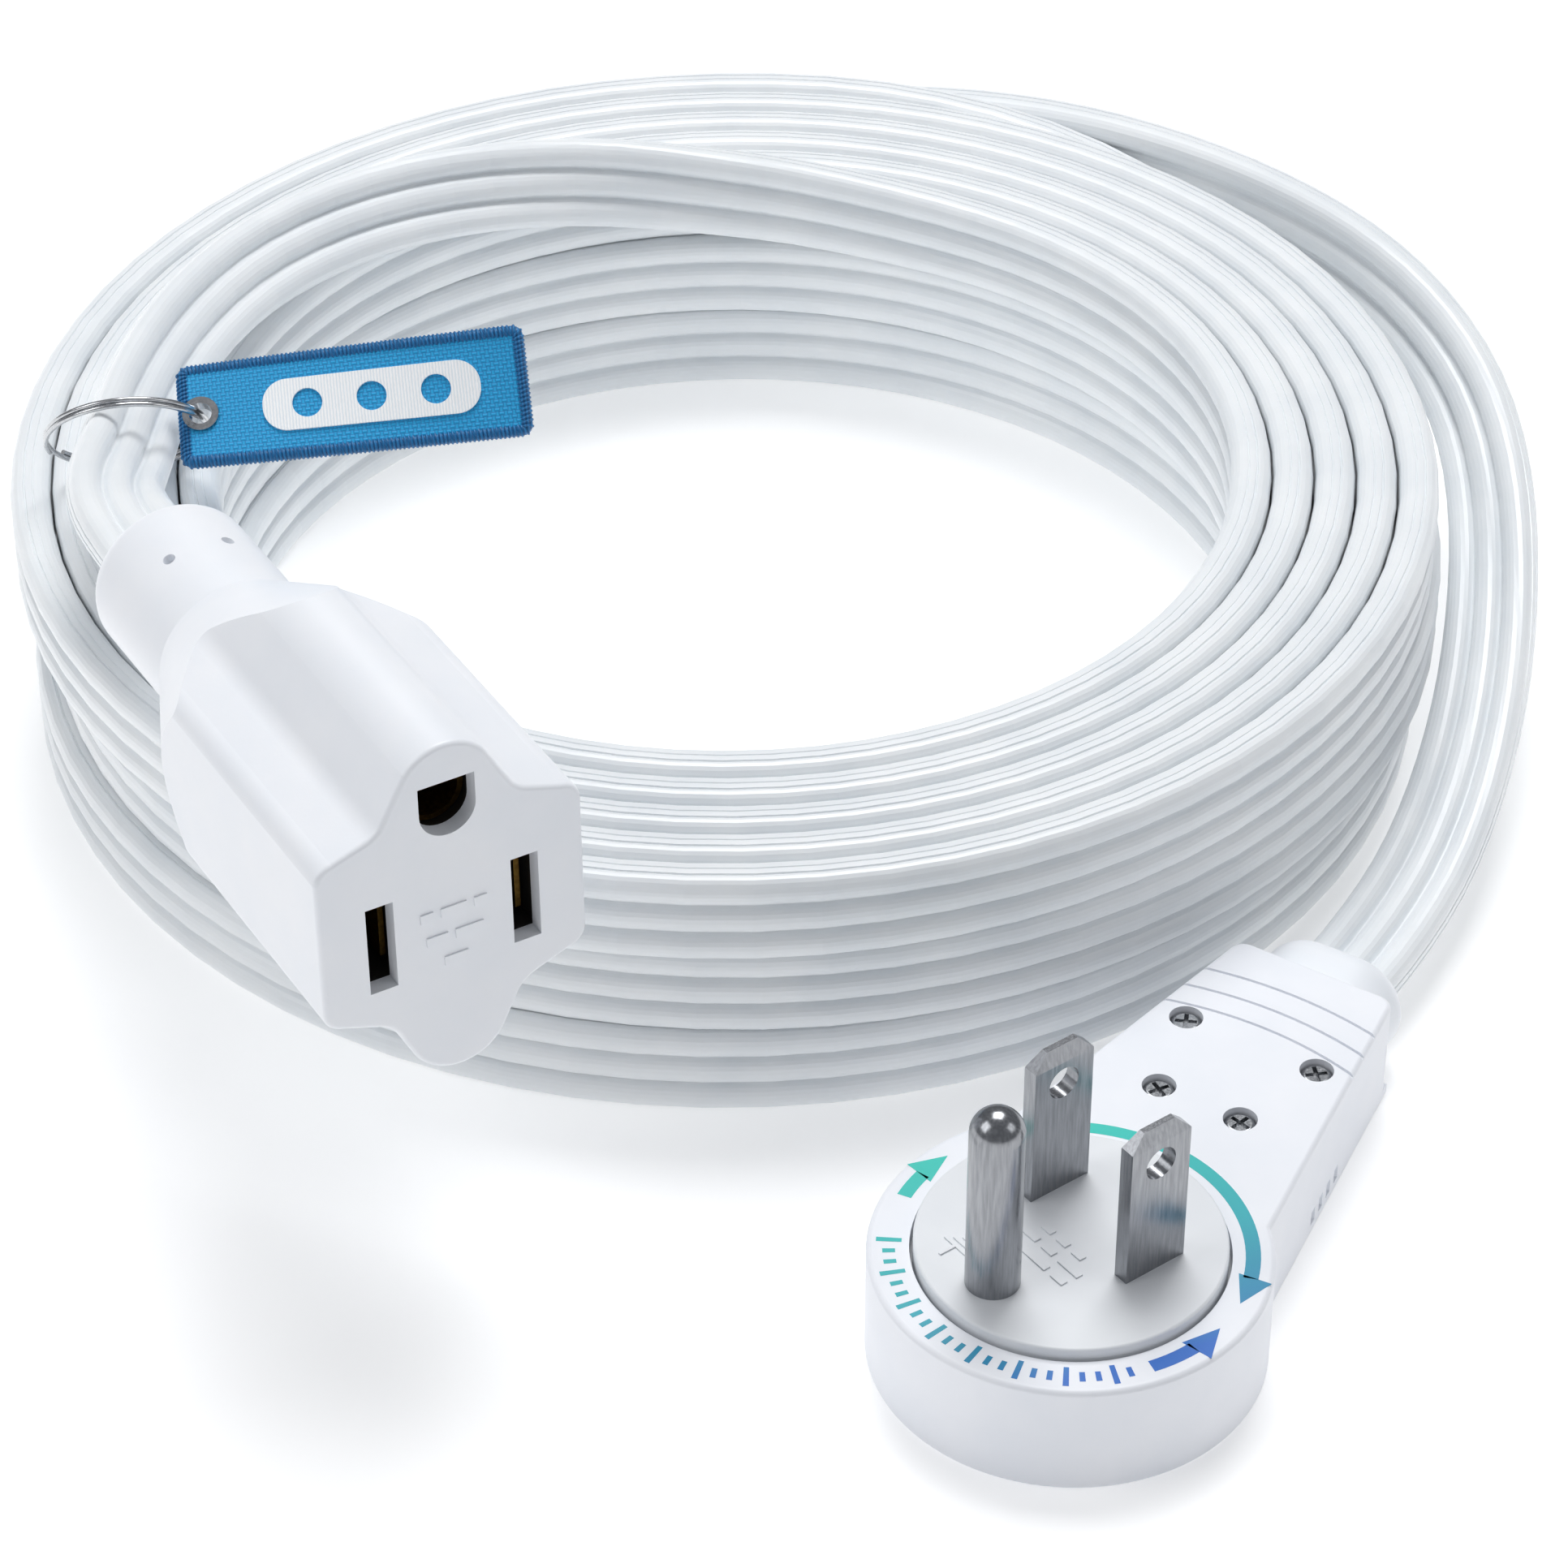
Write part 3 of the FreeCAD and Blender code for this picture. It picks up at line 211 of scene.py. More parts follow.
line = read_line(route, 3)
lean = lean_along(route_lean, len(line))


# %% Outline of the cable
def lobe_side():
    """Half thickness at places across the cable's width, for one face, in millimetres."""
    return [(-4.56, 0.86), (-4.46, 1.2), (-4.22, 1.52), (-3.84, 1.77), (-3.4, 1.91), (-3.04, 1.95),
            (-2.6, 1.9), (-2.2, 1.74), (-1.9, 1.48), (-1.74, 1.16), (-1.62, 1.02), (-1.44, 1.02),
            (-1.32, 1.16), (-1.16, 1.48), (-0.9, 1.74), (-0.5, 1.9), (0.0, 1.95), (0.5, 1.9),
            (0.9, 1.74), (1.16, 1.48), (1.32, 1.16), (1.44, 1.02), (1.62, 1.02), (1.74, 1.16),
            (1.9, 1.48), (2.2, 1.74), (2.6, 1.9), (3.04, 1.95), (3.4, 1.91), (3.84, 1.77),
            (4.22, 1.52), (4.46, 1.2), (4.56, 0.86)]


def ribbed_edge():
    """The narrow edge, with two fine grooves along it that mark the ground side."""
    return [(4.58, 0.82), (4.58, 0.64), (4.42, 0.58), (4.42, 0.46), (4.6, 0.4), (4.62, 0.0),
            (4.61, -0.2), (4.5, -0.26), (4.5, -0.36), (4.6, -0.42), (4.57, -0.82)]


side = lobe_side()
edge = ribbed_edge()
outline = side + edge
outline += [(-across, -thick) for across, thick in side]
outline += [(-across, -thick) for across, thick in edge]
outline = np.array(outline) * MM


def flat_cable(name, line, lean, outline):
    """Tube with that outline along the line, closed at both ends."""
    along = np.gradient(line, axis=0)
    along /= np.linalg.norm(along, axis=1)[:, None]
    outward = np.cross(along, (0.0, 0.0, 1.0))
    outward /= np.linalg.norm(outward, axis=1)[:, None]
    upright = np.cross(outward, along)
    width = upright * np.cos(lean)[:, None] + outward * np.sin(lean)[:, None]
    thick = np.cross(along, width)
    rings = (line[:, None, :] + width[:, None, :] * outline[None, :, :1]
             + thick[:, None, :] * outline[None, :, 1:])
    count = len(outline)
    total = len(line)
    vertices = rings.reshape(-1, 3).tolist()
    faces = []
    for ring in range(total - 1):
        start = ring * count
        for index in range(count):
            after = (index + 1) % count
            faces.append((start + index, start + after, start + count + after,
                          start + count + index))
    faces.append(tuple(range(count - 1, -1, -1)))
    faces.append(tuple(range((total - 1) * count, total * count)))
    mesh = bpy.data.meshes.new(name)
    mesh.from_pydata(vertices, [], faces)
    mesh.update()
    piece = bpy.data.objects.new(name, mesh)
    bpy.context.scene.collection.objects.link(piece)
    return piece


cable = flat_cable("flat_cable", line, lean, outline)
print("Cable mesh:", len(cable.data.polygons), "faces")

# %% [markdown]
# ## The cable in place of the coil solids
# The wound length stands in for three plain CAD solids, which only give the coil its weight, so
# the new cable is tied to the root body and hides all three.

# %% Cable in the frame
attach(cable, "root")
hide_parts("cord_coil", "cord_lead_plug", "cord_lead_socket")

# %% [markdown]
# ## Helpers for materials
# Colours are written as the hex values that a designer would pick, and one function turns them
# into the linear values that the shader works in. One more function adds any node, with its
# settings and with its inputs as values or as links.

# %% Colour and node helpers
def linear(hex_colour, alpha=1.0):
    """sRGB hex colour as linear red, green, blue and alpha."""
    levels = [int(hex_colour[index:index + 2], 16) / 255 for index in (1, 3, 5)]
    turned = [c / 12.92 if c <= 0.04045 else ((c + 0.055) / 1.055) ** 2.4 for c in levels]
    return (*turned, alpha)


def add_node(tree, kind, settings=None, inputs=None, stops=None):
    """Adds a node; each input is a value or another node's output socket."""
    node = tree.nodes.new(kind)
    for name, value in (settings or {}).items():
        setattr(node, name, value)
    for name, value in (inputs or {}).items():
        if isinstance(value, bpy.types.NodeSocket):
            tree.links.new(value, node.inputs[name])
        else:
            node.inputs[name].default_value = value
    if stops:
        ramp = node.color_ramp
        while len(ramp.elements) < len(stops):
            ramp.elements.new(0.5)
        for element, (place, colour) in zip(ramp.elements, stops):
            element.position = place
            element.color = colour
    return node


def new_material(name):
    """Material with only a Principled shader, and its tree and shader."""
    material = bpy.data.materials.new(name)
    material.use_nodes = True
    tree = material.node_tree
    tree.nodes.clear()
    shader = add_node(tree, "ShaderNodeBsdfPrincipled")
    add_node(tree, "ShaderNodeOutputMaterial", inputs={"Surface": shader.outputs["BSDF"]})
    return material, tree, shader


def set_inputs(shader, **values):
    """Plain values on the shader's own sockets; an underscore stands for a space."""
    for name, value in values.items():
        shader.inputs[name.replace("_", " ")].default_value = value


print("Helpers ready: white is", [round(v, 3) for v in linear("#FFFFFF")])

# %% [markdown]
# ## White plastics
# Every white piece is a soft plastic, but not the same one. The cable's jacket is extruded PVC,
# smooth and a little glossy along its length. The socket and the cable's sleeves are moulded
# PVC with a fine satin grain. The plug's case is moulded ABS, and its swivelling disc a greyer
# and drier plastic. They share one recipe: a faint cloudiness in the colour, a roughness that
# wanders slightly, and a fine grain in the bump. What differs is passed in.

# %% Recipe for a white plastic
CLOUD_SIZE = mm(9.0)


def white_plastic(name, light, shade, rough, grain_mm, grain_depth_mm, soft=0.0, stretch=(1, 1, 1)):
    """Moulded or extruded plastic: two close whites, a roughness range and a surface grain."""
    material, tree, shader = new_material(name)
    place = add_node(tree, "ShaderNodeTexCoord").outputs["Object"]
    along = add_node(tree, "ShaderNodeMapping", inputs={"Vector": place, "Scale": stretch})
    spread = along.outputs["Vector"]
    cloud = add_node(tree, "ShaderNodeTexNoise",
                     inputs={"Vector": spread, "Scale": 1 / CLOUD_SIZE, "Detail": 3.0})
    tint = add_node(tree, "ShaderNodeValToRGB", inputs={"Fac": cloud.outputs["Fac"]},
                    stops=[(0.35, linear(shade)), (0.65, linear(light))])
    satin = add_node(tree, "ShaderNodeMapRange",
                     inputs={"Value": cloud.outputs["Fac"], "To Min": rough[0], "To Max": rough[1]})
    grain = add_node(tree, "ShaderNodeTexNoise",
                     inputs={"Vector": spread, "Scale": 1 / mm(grain_mm), "Detail": 2.0})
    bump = add_node(tree, "ShaderNodeBump",
                    inputs={"Height": grain.outputs["Fac"], "Strength": 1.0,
                            "Distance": mm(grain_depth_mm)})
    tree.links.new(tint.outputs["Color"], shader.inputs["Base Color"])
    tree.links.new(satin.outputs["Result"], shader.inputs["Roughness"])
    tree.links.new(bump.outputs["Normal"], shader.inputs["Normal"])
    set_inputs(shader, IOR=1.53, Subsurface_Weight=soft, Subsurface_Scale=mm(1.0),
               Subsurface_Radius=(1.0, 0.9, 0.8))
    return material


# Extruded PVC: softly glossy, with a slight blue cast and light that sinks in a little.
cable_pvc = white_plastic("extruded PVC jacket", "#F0F3F5", "#EAEEF1", (0.26, 0.36),
                          0.9, 0.004, soft=0.08)
# Moulded PVC: satin, with the fine grain of an etched mould.
socket_pvc = white_plastic("moulded PVC socket", "#F3F5F9", "#EFF2F7", (0.34, 0.44),
                           0.35, 0.006, soft=0.06)
boot_pvc = white_plastic("moulded PVC sleeve", "#F2F4F8", "#EDF1F6", (0.36, 0.46),
                         0.35, 0.006, soft=0.06)
# Moulded ABS: harder and a little drier to the eye than PVC.
case_abs = white_plastic("moulded ABS case", "#F1F3F8", "#ECEFF5", (0.38, 0.5),
                         0.3, 0.007)
# Nylon disc: greyer and more matt, so it parts from the case around it.
disc_nylon = white_plastic("moulded nylon disc", "#E9ECEF", "#E3E6EA", (0.42, 0.55),
                           0.3, 0.008)
# Insulators inside, coloured near-black as painted shade so the openings look dark. They only show
# through the openings.
slot_shade_insulator = white_plastic("insulator darkened as painted slot shade", "#211E1B", "#191715", (0.5, 0.65),
                               0.3, 0.01)
print("White plastics:", [m.name for m in (cable_pvc, socket_pvc, boot_pvc, case_abs, disc_nylon)])

# %% [markdown]
# ## Metals
# The blades and the pin are brass plated with nickel and polished, so they mirror the white
# surroundings with dark edges. Their base colour is set darker than nickel's own, as a painted dark
# reflection. The screws are turned steel. The contacts are brass, with a darker base colour that is
# painted shade for the deep slots they sit in. A metal's colour is its reflection, so the metallic
# value is one, and for the screws and the ring the base colour is the metal's own.
# Polishing leaves faint lines, which a stretched noise draws in the roughness and the bump.

# %% Recipe for a polished metal
def polished_metal(name, light, shade, rough, line_mm, depth_mm, stretch):
    """Plated or bare metal with faint lines, drawn out by the stretch."""
    material, tree, shader = new_material(name)
    place = add_node(tree, "ShaderNodeTexCoord").outputs["Object"]
    drawn = add_node(tree, "ShaderNodeMapping", inputs={"Vector": place, "Scale": stretch})
    lines = add_node(tree, "ShaderNodeTexNoise",
                     inputs={"Vector": drawn.outputs["Vector"], "Scale": 1 / mm(line_mm),
                             "Detail": 4.0})
    tint = add_node(tree, "ShaderNodeValToRGB", inputs={"Fac": lines.outputs["Fac"]},
                    stops=[(0.3, linear(shade)), (0.7, linear(light))])
    satin = add_node(tree, "ShaderNodeMapRange",
                     inputs={"Value": lines.outputs["Fac"], "To Min": rough[0], "To Max": rough[1]})
    bump = add_node(tree, "ShaderNodeBump",
                    inputs={"Height": lines.outputs["Fac"], "Strength": 0.6,
                            "Distance": mm(depth_mm)})
    tree.links.new(tint.outputs["Color"], shader.inputs["Base Color"])
    tree.links.new(satin.outputs["Result"], shader.inputs["Roughness"])
    tree.links.new(bump.outputs["Normal"], shader.inputs["Normal"])
    set_inputs(shader, Metallic=1.0)
    return material


LINES_UP = (1.0, 1.0, 0.08)
NO_LINES = (1.0, 1.0, 1.0)
# Nickel with its base colour set darker than the metal's own. This is a painted dark reflection,
# because the white surroundings give the blades nothing dark to mirror.
blade_nickel = polished_metal("polished nickel plate with painted dark reflection", "#9FA1A5", "#87898D", (0.16, 0.28),
                              0.25, 0.004, LINES_UP)
screw_steel = polished_metal("turned zinc-plated steel", "#A9ABAE", "#8C8E92", (0.18, 0.32),
                             0.2, 0.004, NO_LINES)
ring_nickel = polished_metal("nickel-plated spring wire", "#CDCED0", "#B9BBBE", (0.14, 0.26),
                             0.3, 0.004, NO_LINES)
# Brass with a base colour darker than its own, as painted shade for the contacts deep in the slots.
contact_brass = polished_metal("brass darkened as painted slot shade", "#8A6C33", "#6E5426", (0.35, 0.5),
                               0.3, 0.005, NO_LINES)
print("Metals:", [m.name for m in (blade_nickel, screw_steel, ring_nickel, contact_brass)])

# %% [markdown]
# ## Coloured core insulation
# The three cores inside have black, white and green jackets. They are sealed in, so a plain
# soft PVC in each colour is enough, made by the same recipe as the white plastics.

# %% Core insulation
core_black = white_plastic("black PVC insulation", "#1C1C1E", "#141416", (0.4, 0.5), 0.3, 0.004)
core_white = white_plastic("white PVC insulation", "#EDEDEA", "#E4E4E0", (0.4, 0.5), 0.3, 0.004)
core_green = white_plastic("green PVC insulation", "#1F7A3F", "#196535", (0.4, 0.5), 0.3, 0.004)
print("Core colours:", core_black.name, core_white.name, core_green.name)

# %% [markdown]
# ## Finishing the CAD pieces
# Most of the plug and the socket keep their CAD shape and only take a material. The record
# names a slot for every node, so one table from slot to material dresses them all.

# %% Materials by slot
FINISHES = {
    "cable_pvc": cable_pvc, "plug_shell": case_abs, "rotor_plastic": disc_nylon,
    "boot_pvc": boot_pvc, "socket_pvc": socket_pvc, "inner_plastic": slot_shade_insulator,
    "screw_steel": screw_steel, "blade_nickel": blade_nickel, "contact_brass": contact_brass,
    "core_black": core_black, "core_white": core_white, "core_green": core_green,
    "ring_nickel": ring_nickel}


def dress(piece, material):
    """Gives a piece one material in every one of its slots."""
    if not piece.material_slots:
        piece.data.materials.append(material)
    for material_slot in piece.material_slots:
        material_slot.material = material


slot_of = {part["node"]: part["material_slot"] for part in frame["record"]["subparts"]}
for node, piece in frame["nodes"].items():
    if slot_of[node] in FINISHES:
        dress(piece, FINISHES[slot_of[node]])
dress(cable, cable_pvc)
print("Dressed", len(frame["nodes"]), "CAD nodes")

# %% [markdown]
# ## Helpers for modelling
# The new pieces are made with the same operators as by hand. Every operator works on whatever
# is selected, so each piece starts from an empty selection, and when it is finished its place
# is written into its mesh, as it is in the CAD pieces.

# %% Modelling helpers
def start_piece():
    """Leaves nothing selected, in object mode."""
    if bpy.context.object and bpy.context.object.mode == "EDIT":
        bpy.ops.object.mode_set(mode="OBJECT")
    bpy.ops.object.select_all(action="DESELECT")


def only(piece):
    """Makes one piece the selected and active one."""
    start_piece()
    piece.select_set(True)
    bpy.context.view_layer.objects.active = piece


def settle(piece):
    """Writes a piece's place, turn and scale into its mesh."""
    only(piece)
    bpy.ops.object.transform_apply(location=True, rotation=True, scale=True)


def apply_modifier(piece, kind, **values):
    """Adds a modifier with its values and applies it."""
    only(piece)
    modifier = piece.modifiers.new(kind.lower(), kind)
    for name, value in values.items():
        setattr(modifier, name, value)
    bpy.ops.object.modifier_apply(modifier=modifier.name)


def join(pieces, name):
    """Joins several pieces into one."""
    only(pieces[0])
    for piece in pieces:
        piece.select_set(True)
    bpy.ops.object.join()
    bpy.context.object.name = name
    return bpy.context.object


def turn_outward(piece):
    """Merges doubles, then points every face outwards."""
    only(piece)
    bpy.ops.object.mode_set(mode="EDIT")
    bpy.ops.mesh.select_all(action="SELECT")
    bpy.ops.mesh.remove_doubles(threshold=mm(0.001))
    bpy.ops.mesh.normals_make_consistent(inside=False)
    bpy.ops.object.mode_set(mode="OBJECT")


def pick(piece, kind, wanted):
    """Enters edit mode with only the wanted vertices or faces selected."""
    only(piece)
    bpy.ops.object.mode_set(mode="EDIT")
    bpy.ops.mesh.select_mode(type=kind)
    bpy.ops.mesh.select_all(action="DESELECT")
    bpy.ops.object.mode_set(mode="OBJECT")
    elements = piece.data.vertices if kind == "VERT" else piece.data.polygons
    for element in elements:
        element.select = bool(wanted(element))
    bpy.ops.object.mode_set(mode="EDIT")


def belongs(piece, body, slot, material, *nodes):
    """Dresses a finished piece, ties it to its body and hides the CAD nodes it stands for. The slot
    argument is not used.
    """
    dress(piece, material)
    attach(piece, body)
    if nodes:
        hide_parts(*nodes)


print("Modelling helpers ready")

# %% [markdown]
# ## Printed arrows on the plug's head
# A ring of printed arrows on the head shows that the prongs turn. Each arrow is a curved band
# with a head at one or both ends. A band could be cut from a disc, but spinning one short edge
# round the swivel axis gives the curve exactly, and a three-cornered circle makes the heads.
# The ink is a film, so each mark gets only a few hundredths of a millimetre of thickness. Its
# colour runs from teal at the back to blue at the front, along one direction for all marks.

# %% Bands and arrowheads
PRINT_R = mm(15.55)
BAND_WIDTH = mm(1.3)
INK_THICK = mm(0.04)
HEAD_LENGTH = mm(3.4)
HEAD_HALF_WIDTH = mm(1.5)
DEG_PER_STEP = 3.0
HEAD_OVERLAP_DEG = 0.5
print_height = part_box("plug_front_shell")[1].z


def ink_band(start, end, inner, outer):
    """Flat curved band round the swivel axis, between two angles in degrees."""
    start_piece()
    bpy.ops.mesh.primitive_plane_add(size=1.0)
    band = bpy.context.object
    pick(band, "VERT", lambda vertex: vertex.co.y > 0)
    bpy.ops.mesh.delete(type="VERT")
    bpy.ops.object.mode_set(mode="OBJECT")
    for vertex in band.data.vertices:
        vertex.co = (inner if vertex.co.x < 0 else outer, 0.0, print_height)
    bpy.ops.object.mode_set(mode="EDIT")
    bpy.ops.mesh.select_all(action="SELECT")
    steps = max(1, round((end - start) / DEG_PER_STEP))
    bpy.ops.mesh.spin(steps=steps, angle=math.radians(start - end), center=(0, 0, 0),
                      axis=(0, 0, 1))
    bpy.ops.object.mode_set(mode="OBJECT")
    turned = [math.degrees(math.atan2(v.co.y, v.co.x)) for v in band.data.vertices]
    swept_up = max(turned) > 0.001
    band.rotation_euler.z = math.radians(start if swept_up else end)
    settle(band)
    return band


def ink_head(angle, way):
    """Arrowhead on the print circle: its tip lies at the angle, and way is 1 for anticlockwise."""
    start_piece()
    bpy.ops.mesh.primitive_circle_add(vertices=3, radius=1.0, fill_type="NGON")
    head = bpy.context.object
    head.data.vertices[0].co = (0.0, 0.0, 0.0)
    head.data.vertices[1].co = (HEAD_HALF_WIDTH, -way * HEAD_LENGTH, 0.0)
    head.data.vertices[2].co = (-HEAD_HALF_WIDTH, -way * HEAD_LENGTH, 0.0)
    turn = math.radians(angle)
    head.rotation_euler.z = turn
    head.location = (PRINT_R * math.cos(turn), PRINT_R * math.sin(turn), print_height)
    settle(head)
    return head


def ink_arrow(name, start, end, heads):
    """Arrow from start to end in degrees, with a head at each named end."""
    head_deg = math.degrees(HEAD_LENGTH / PRINT_R)
    low = start + (head_deg - HEAD_OVERLAP_DEG if "start" in heads else 0)
    high = end - (head_deg - HEAD_OVERLAP_DEG if "end" in heads else 0)
    parts = [ink_band(low, high, PRINT_R - BAND_WIDTH / 2, PRINT_R + BAND_WIDTH / 2)]
    if "start" in heads:
        parts.append(ink_head(start, -1))
    if "end" in heads:
        parts.append(ink_head(end, 1))
    arrow = join(parts, name)
    apply_modifier(arrow, "SOLIDIFY", thickness=INK_THICK, offset=0.0)
    turn_outward(arrow)
    return arrow


# %% Ink that runs from teal to blue
ink, tree, shader = new_material("pad-printed ink")
place = add_node(tree, "ShaderNodeTexCoord").outputs["Object"]
# The run goes from the back left to the front right, across the print circle.
way_across = add_node(tree, "ShaderNodeVectorMath", {"operation": "DOT_PRODUCT"},
                      {0: place, 1: (0.34, -0.94, 0.0)})
run = add_node(tree, "ShaderNodeMapRange",
               inputs={"Value": way_across.outputs["Value"], "From Min": -PRINT_R,
                       "From Max": PRINT_R})
ink_colour = add_node(tree, "ShaderNodeValToRGB", inputs={"Fac": run.outputs["Result"]},
                      stops=[(0.0, linear("#22C9B8")), (0.55, linear("#1FA9B4")),
                             (0.85, linear("#1A86B4")), (0.97, linear("#1767C4"))])
tree.links.new(ink_colour.outputs["Color"], shader.inputs["Base Color"])
set_inputs(shader, Roughness=0.38, IOR=1.5)

ink_marks = [ink_arrow("swivel_arrow", -26, 118, ("start", "end")),
             ink_arrow("teal_arrow", 131, 155, ("start",)),
             ink_arrow("blue_arrow", -67, -39, ("end",))]

# %% [markdown]
# The front of the print circle carries a plain degree scale, so the turn can be read. Each tick
# is the same short band, longer at every third one.

# %% Degree scale
TICKS, FIRST_TICK_DEG, TICK_STEP_DEG, TICK_HALF_DEG = 23, 176, 5, 0.9
LONG_TICK, SHORT_TICK = mm(1.1), mm(0.55)
ticks = []
for index in range(TICKS):
    middle = FIRST_TICK_DEG + TICK_STEP_DEG * index
    reach = LONG_TICK if index % 3 == 0 else SHORT_TICK
    ticks.append(ink_band(middle - TICK_HALF_DEG, middle + TICK_HALF_DEG,
                          PRINT_R - reach, PRINT_R + reach))
scale = join(ticks, "degree_scale")
apply_modifier(scale, "SOLIDIFY", thickness=INK_THICK, offset=0.0)
turn_outward(scale)
ink_marks.append(scale)
for mark in ink_marks:
    belongs(mark, "root", "plug_shell", ink)
print("Printed marks:", [mark.name for mark in ink_marks])

# %% [markdown]
# ## Split ring
# The tag hangs on a split ring: one springy wire wound twice round, with its ends passing each
# other. A torus would show two closed hoops, so a small circle is carried round by a Screw
# modifier for a little less than two turns while it climbs by twice its own thickness.

# %% Split ring
RING_AT = COIL_MIDDLE + mm(-57.45, -10.0, 35.5)
RING_R, WIRE_R, RING_CLIMB = mm(6.7), mm(0.25), mm(1.0)
EYELET_UP = math.radians(22.0)
# The flat cable is wider than the frame's round one, so the drawn ring is wider and steeper.
DRAWN_RING_R = mm(7.8)
DRAWN_LEAN = math.radians(57.0)
RING_TURN_DEG, RING_ENDS_DEG, RING_STEPS = 700.0, 215.0, 150
UP = Vector((0.0, 0.0, 1.0))
ring_across = Vector((0.99, 0.13, 0.0)).normalized()
cable_way = Vector((0.13, -0.99, 0.0)).normalized()
RING_LEAN = math.radians(46.0)


def ring_front(lean):
    """Direction round the front of a ring that leans this far from the level."""
    return cable_way * math.cos(lean) + UP * math.sin(lean)


def to_eyelet(lean):
    """Direction from a ring's middle to the eyelet."""
    return ring_across * math.cos(EYELET_UP) + ring_front(lean) * math.sin(EYELET_UP)


eyelet_place = RING_AT + to_eyelet(RING_LEAN) * RING_R
drawn_front = ring_front(DRAWN_LEAN)
drawn_middle = eyelet_place - to_eyelet(DRAWN_LEAN) * DRAWN_RING_R

start_piece()
bpy.ops.mesh.primitive_circle_add(vertices=10, radius=WIRE_R, rotation=(math.pi / 2, 0, 0),
                                  location=(DRAWN_RING_R, 0, -RING_CLIMB / 2))
split_ring = bpy.context.object
split_ring.name = "split_ring"
settle(split_ring)
apply_modifier(split_ring, "SCREW", angle=math.radians(RING_TURN_DEG), steps=RING_STEPS,
               render_steps=RING_STEPS, screw_offset=RING_CLIMB, axis="Z", use_merge_vertices=False)
only(split_ring)
bpy.ops.object.mode_set(mode="EDIT")
bpy.ops.mesh.select_all(action="SELECT")
bpy.ops.mesh.fill_holes(sides=0)
bpy.ops.object.mode_set(mode="OBJECT")
turn_outward(split_ring)
bpy.ops.object.shade_smooth_by_angle(angle=math.radians(50))
ring_turn = Matrix((ring_across, drawn_front, ring_across.cross(drawn_front))).transposed()
split_ring.matrix_world = (Matrix.Translation(drawn_middle) @ ring_turn.to_4x4()
                           @ Matrix.Rotation(math.radians(RING_ENDS_DEG), 4, "Z"))
settle(split_ring)
belongs(split_ring, "key_ring", "ring_nickel", ring_nickel, "tag_split_ring")
print("Split ring:", len(split_ring.data.polygons), "faces")

# %% [markdown]
# ## Woven tag
# The tag is a strip of stiff woven fabric, edged with overlock stitches. It twists a little
# along its length, as the ring lets it hang. All its pieces are drawn flat first, with x along
# the tag, y across it and z out of its face, and one function then hangs them in place and
# keeps the flat position as a UV map in millimetres, so the weave follows the twist.

# %% Hanging a flat piece
TAG_LENGTH, TAG_HEIGHT, EYELET_IN = mm(34.0), mm(11.0), mm(2.3)
TAG_TILTS = (30.0, 52.0)
tag_way = Vector((0.9937, 0.0688, 0.0884)).normalized()
tag_level = UP.cross(tag_way).normalized()
tag_raised = tag_way.cross(tag_level).normalized()


def hang(piece):
    """Moves a flat piece's points to the hanging tag, after noting where they lay flat."""
    mesh = piece.data
    while mesh.uv_layers:
        mesh.uv_layers.remove(mesh.uv_layers[0])
    flat = mesh.uv_layers.new(name="flat_mm")
    for loop in mesh.loops:
        point = mesh.vertices[loop.vertex_index].co
        flat.data[loop.index].uv = (point.x / MM, point.y / MM)
    for vertex in mesh.vertices:
        along, across, out = vertex.co
        share = along / TAG_LENGTH
        tilt = math.radians(TAG_TILTS[0] + (TAG_TILTS[1] - TAG_TILTS[0]) * share)
        face_up = tag_level * math.cos(tilt) + tag_raised * math.sin(tilt)
        normal = tag_way.cross(face_up)
        vertex.co = (eyelet_place + tag_way * (along - EYELET_IN) + face_up * across
                     + normal * out)
    mesh.update()


# %% Woven panel
EDGE_IN = mm(0.75)
PANEL_THICK = mm(0.9)
CELL = mm(0.25)
panel_size = Vector((TAG_LENGTH - 2 * EDGE_IN, TAG_HEIGHT - 2 * EDGE_IN))
start_piece()
bpy.ops.mesh.primitive_grid_add(x_subdivisions=round(panel_size.x / CELL),
                                y_subdivisions=round(panel_size.y / CELL),
                                size=1.0, location=(TAG_LENGTH / 2, 0, 0))
panel = bpy.context.object
panel.name = "woven_panel"
panel.scale = (panel_size.x, panel_size.y, 1.0)
settle(panel)
eyelet_flat = Vector((EYELET_IN, 0.0, 0.0))
EYELET_HOLE = mm(1.4)
pick(panel, "FACE", lambda face: (face.center - eyelet_flat).length < EYELET_HOLE)
bpy.ops.mesh.delete(type="FACE")
bpy.ops.object.mode_set(mode="OBJECT")
apply_modifier(panel, "SOLIDIFY", thickness=PANEL_THICK, offset=0.0)
hang(panel)
print("Panel:", len(panel.data.polygons), "faces")

# %% [markdown]
# The overlocked edge is a soft roll of thread. Its core is a round bar that follows the tag's
# outline, and over it run about two hundred loops of thread, each a small ring that leans a
# little along the edge. One loop is modelled and copied.

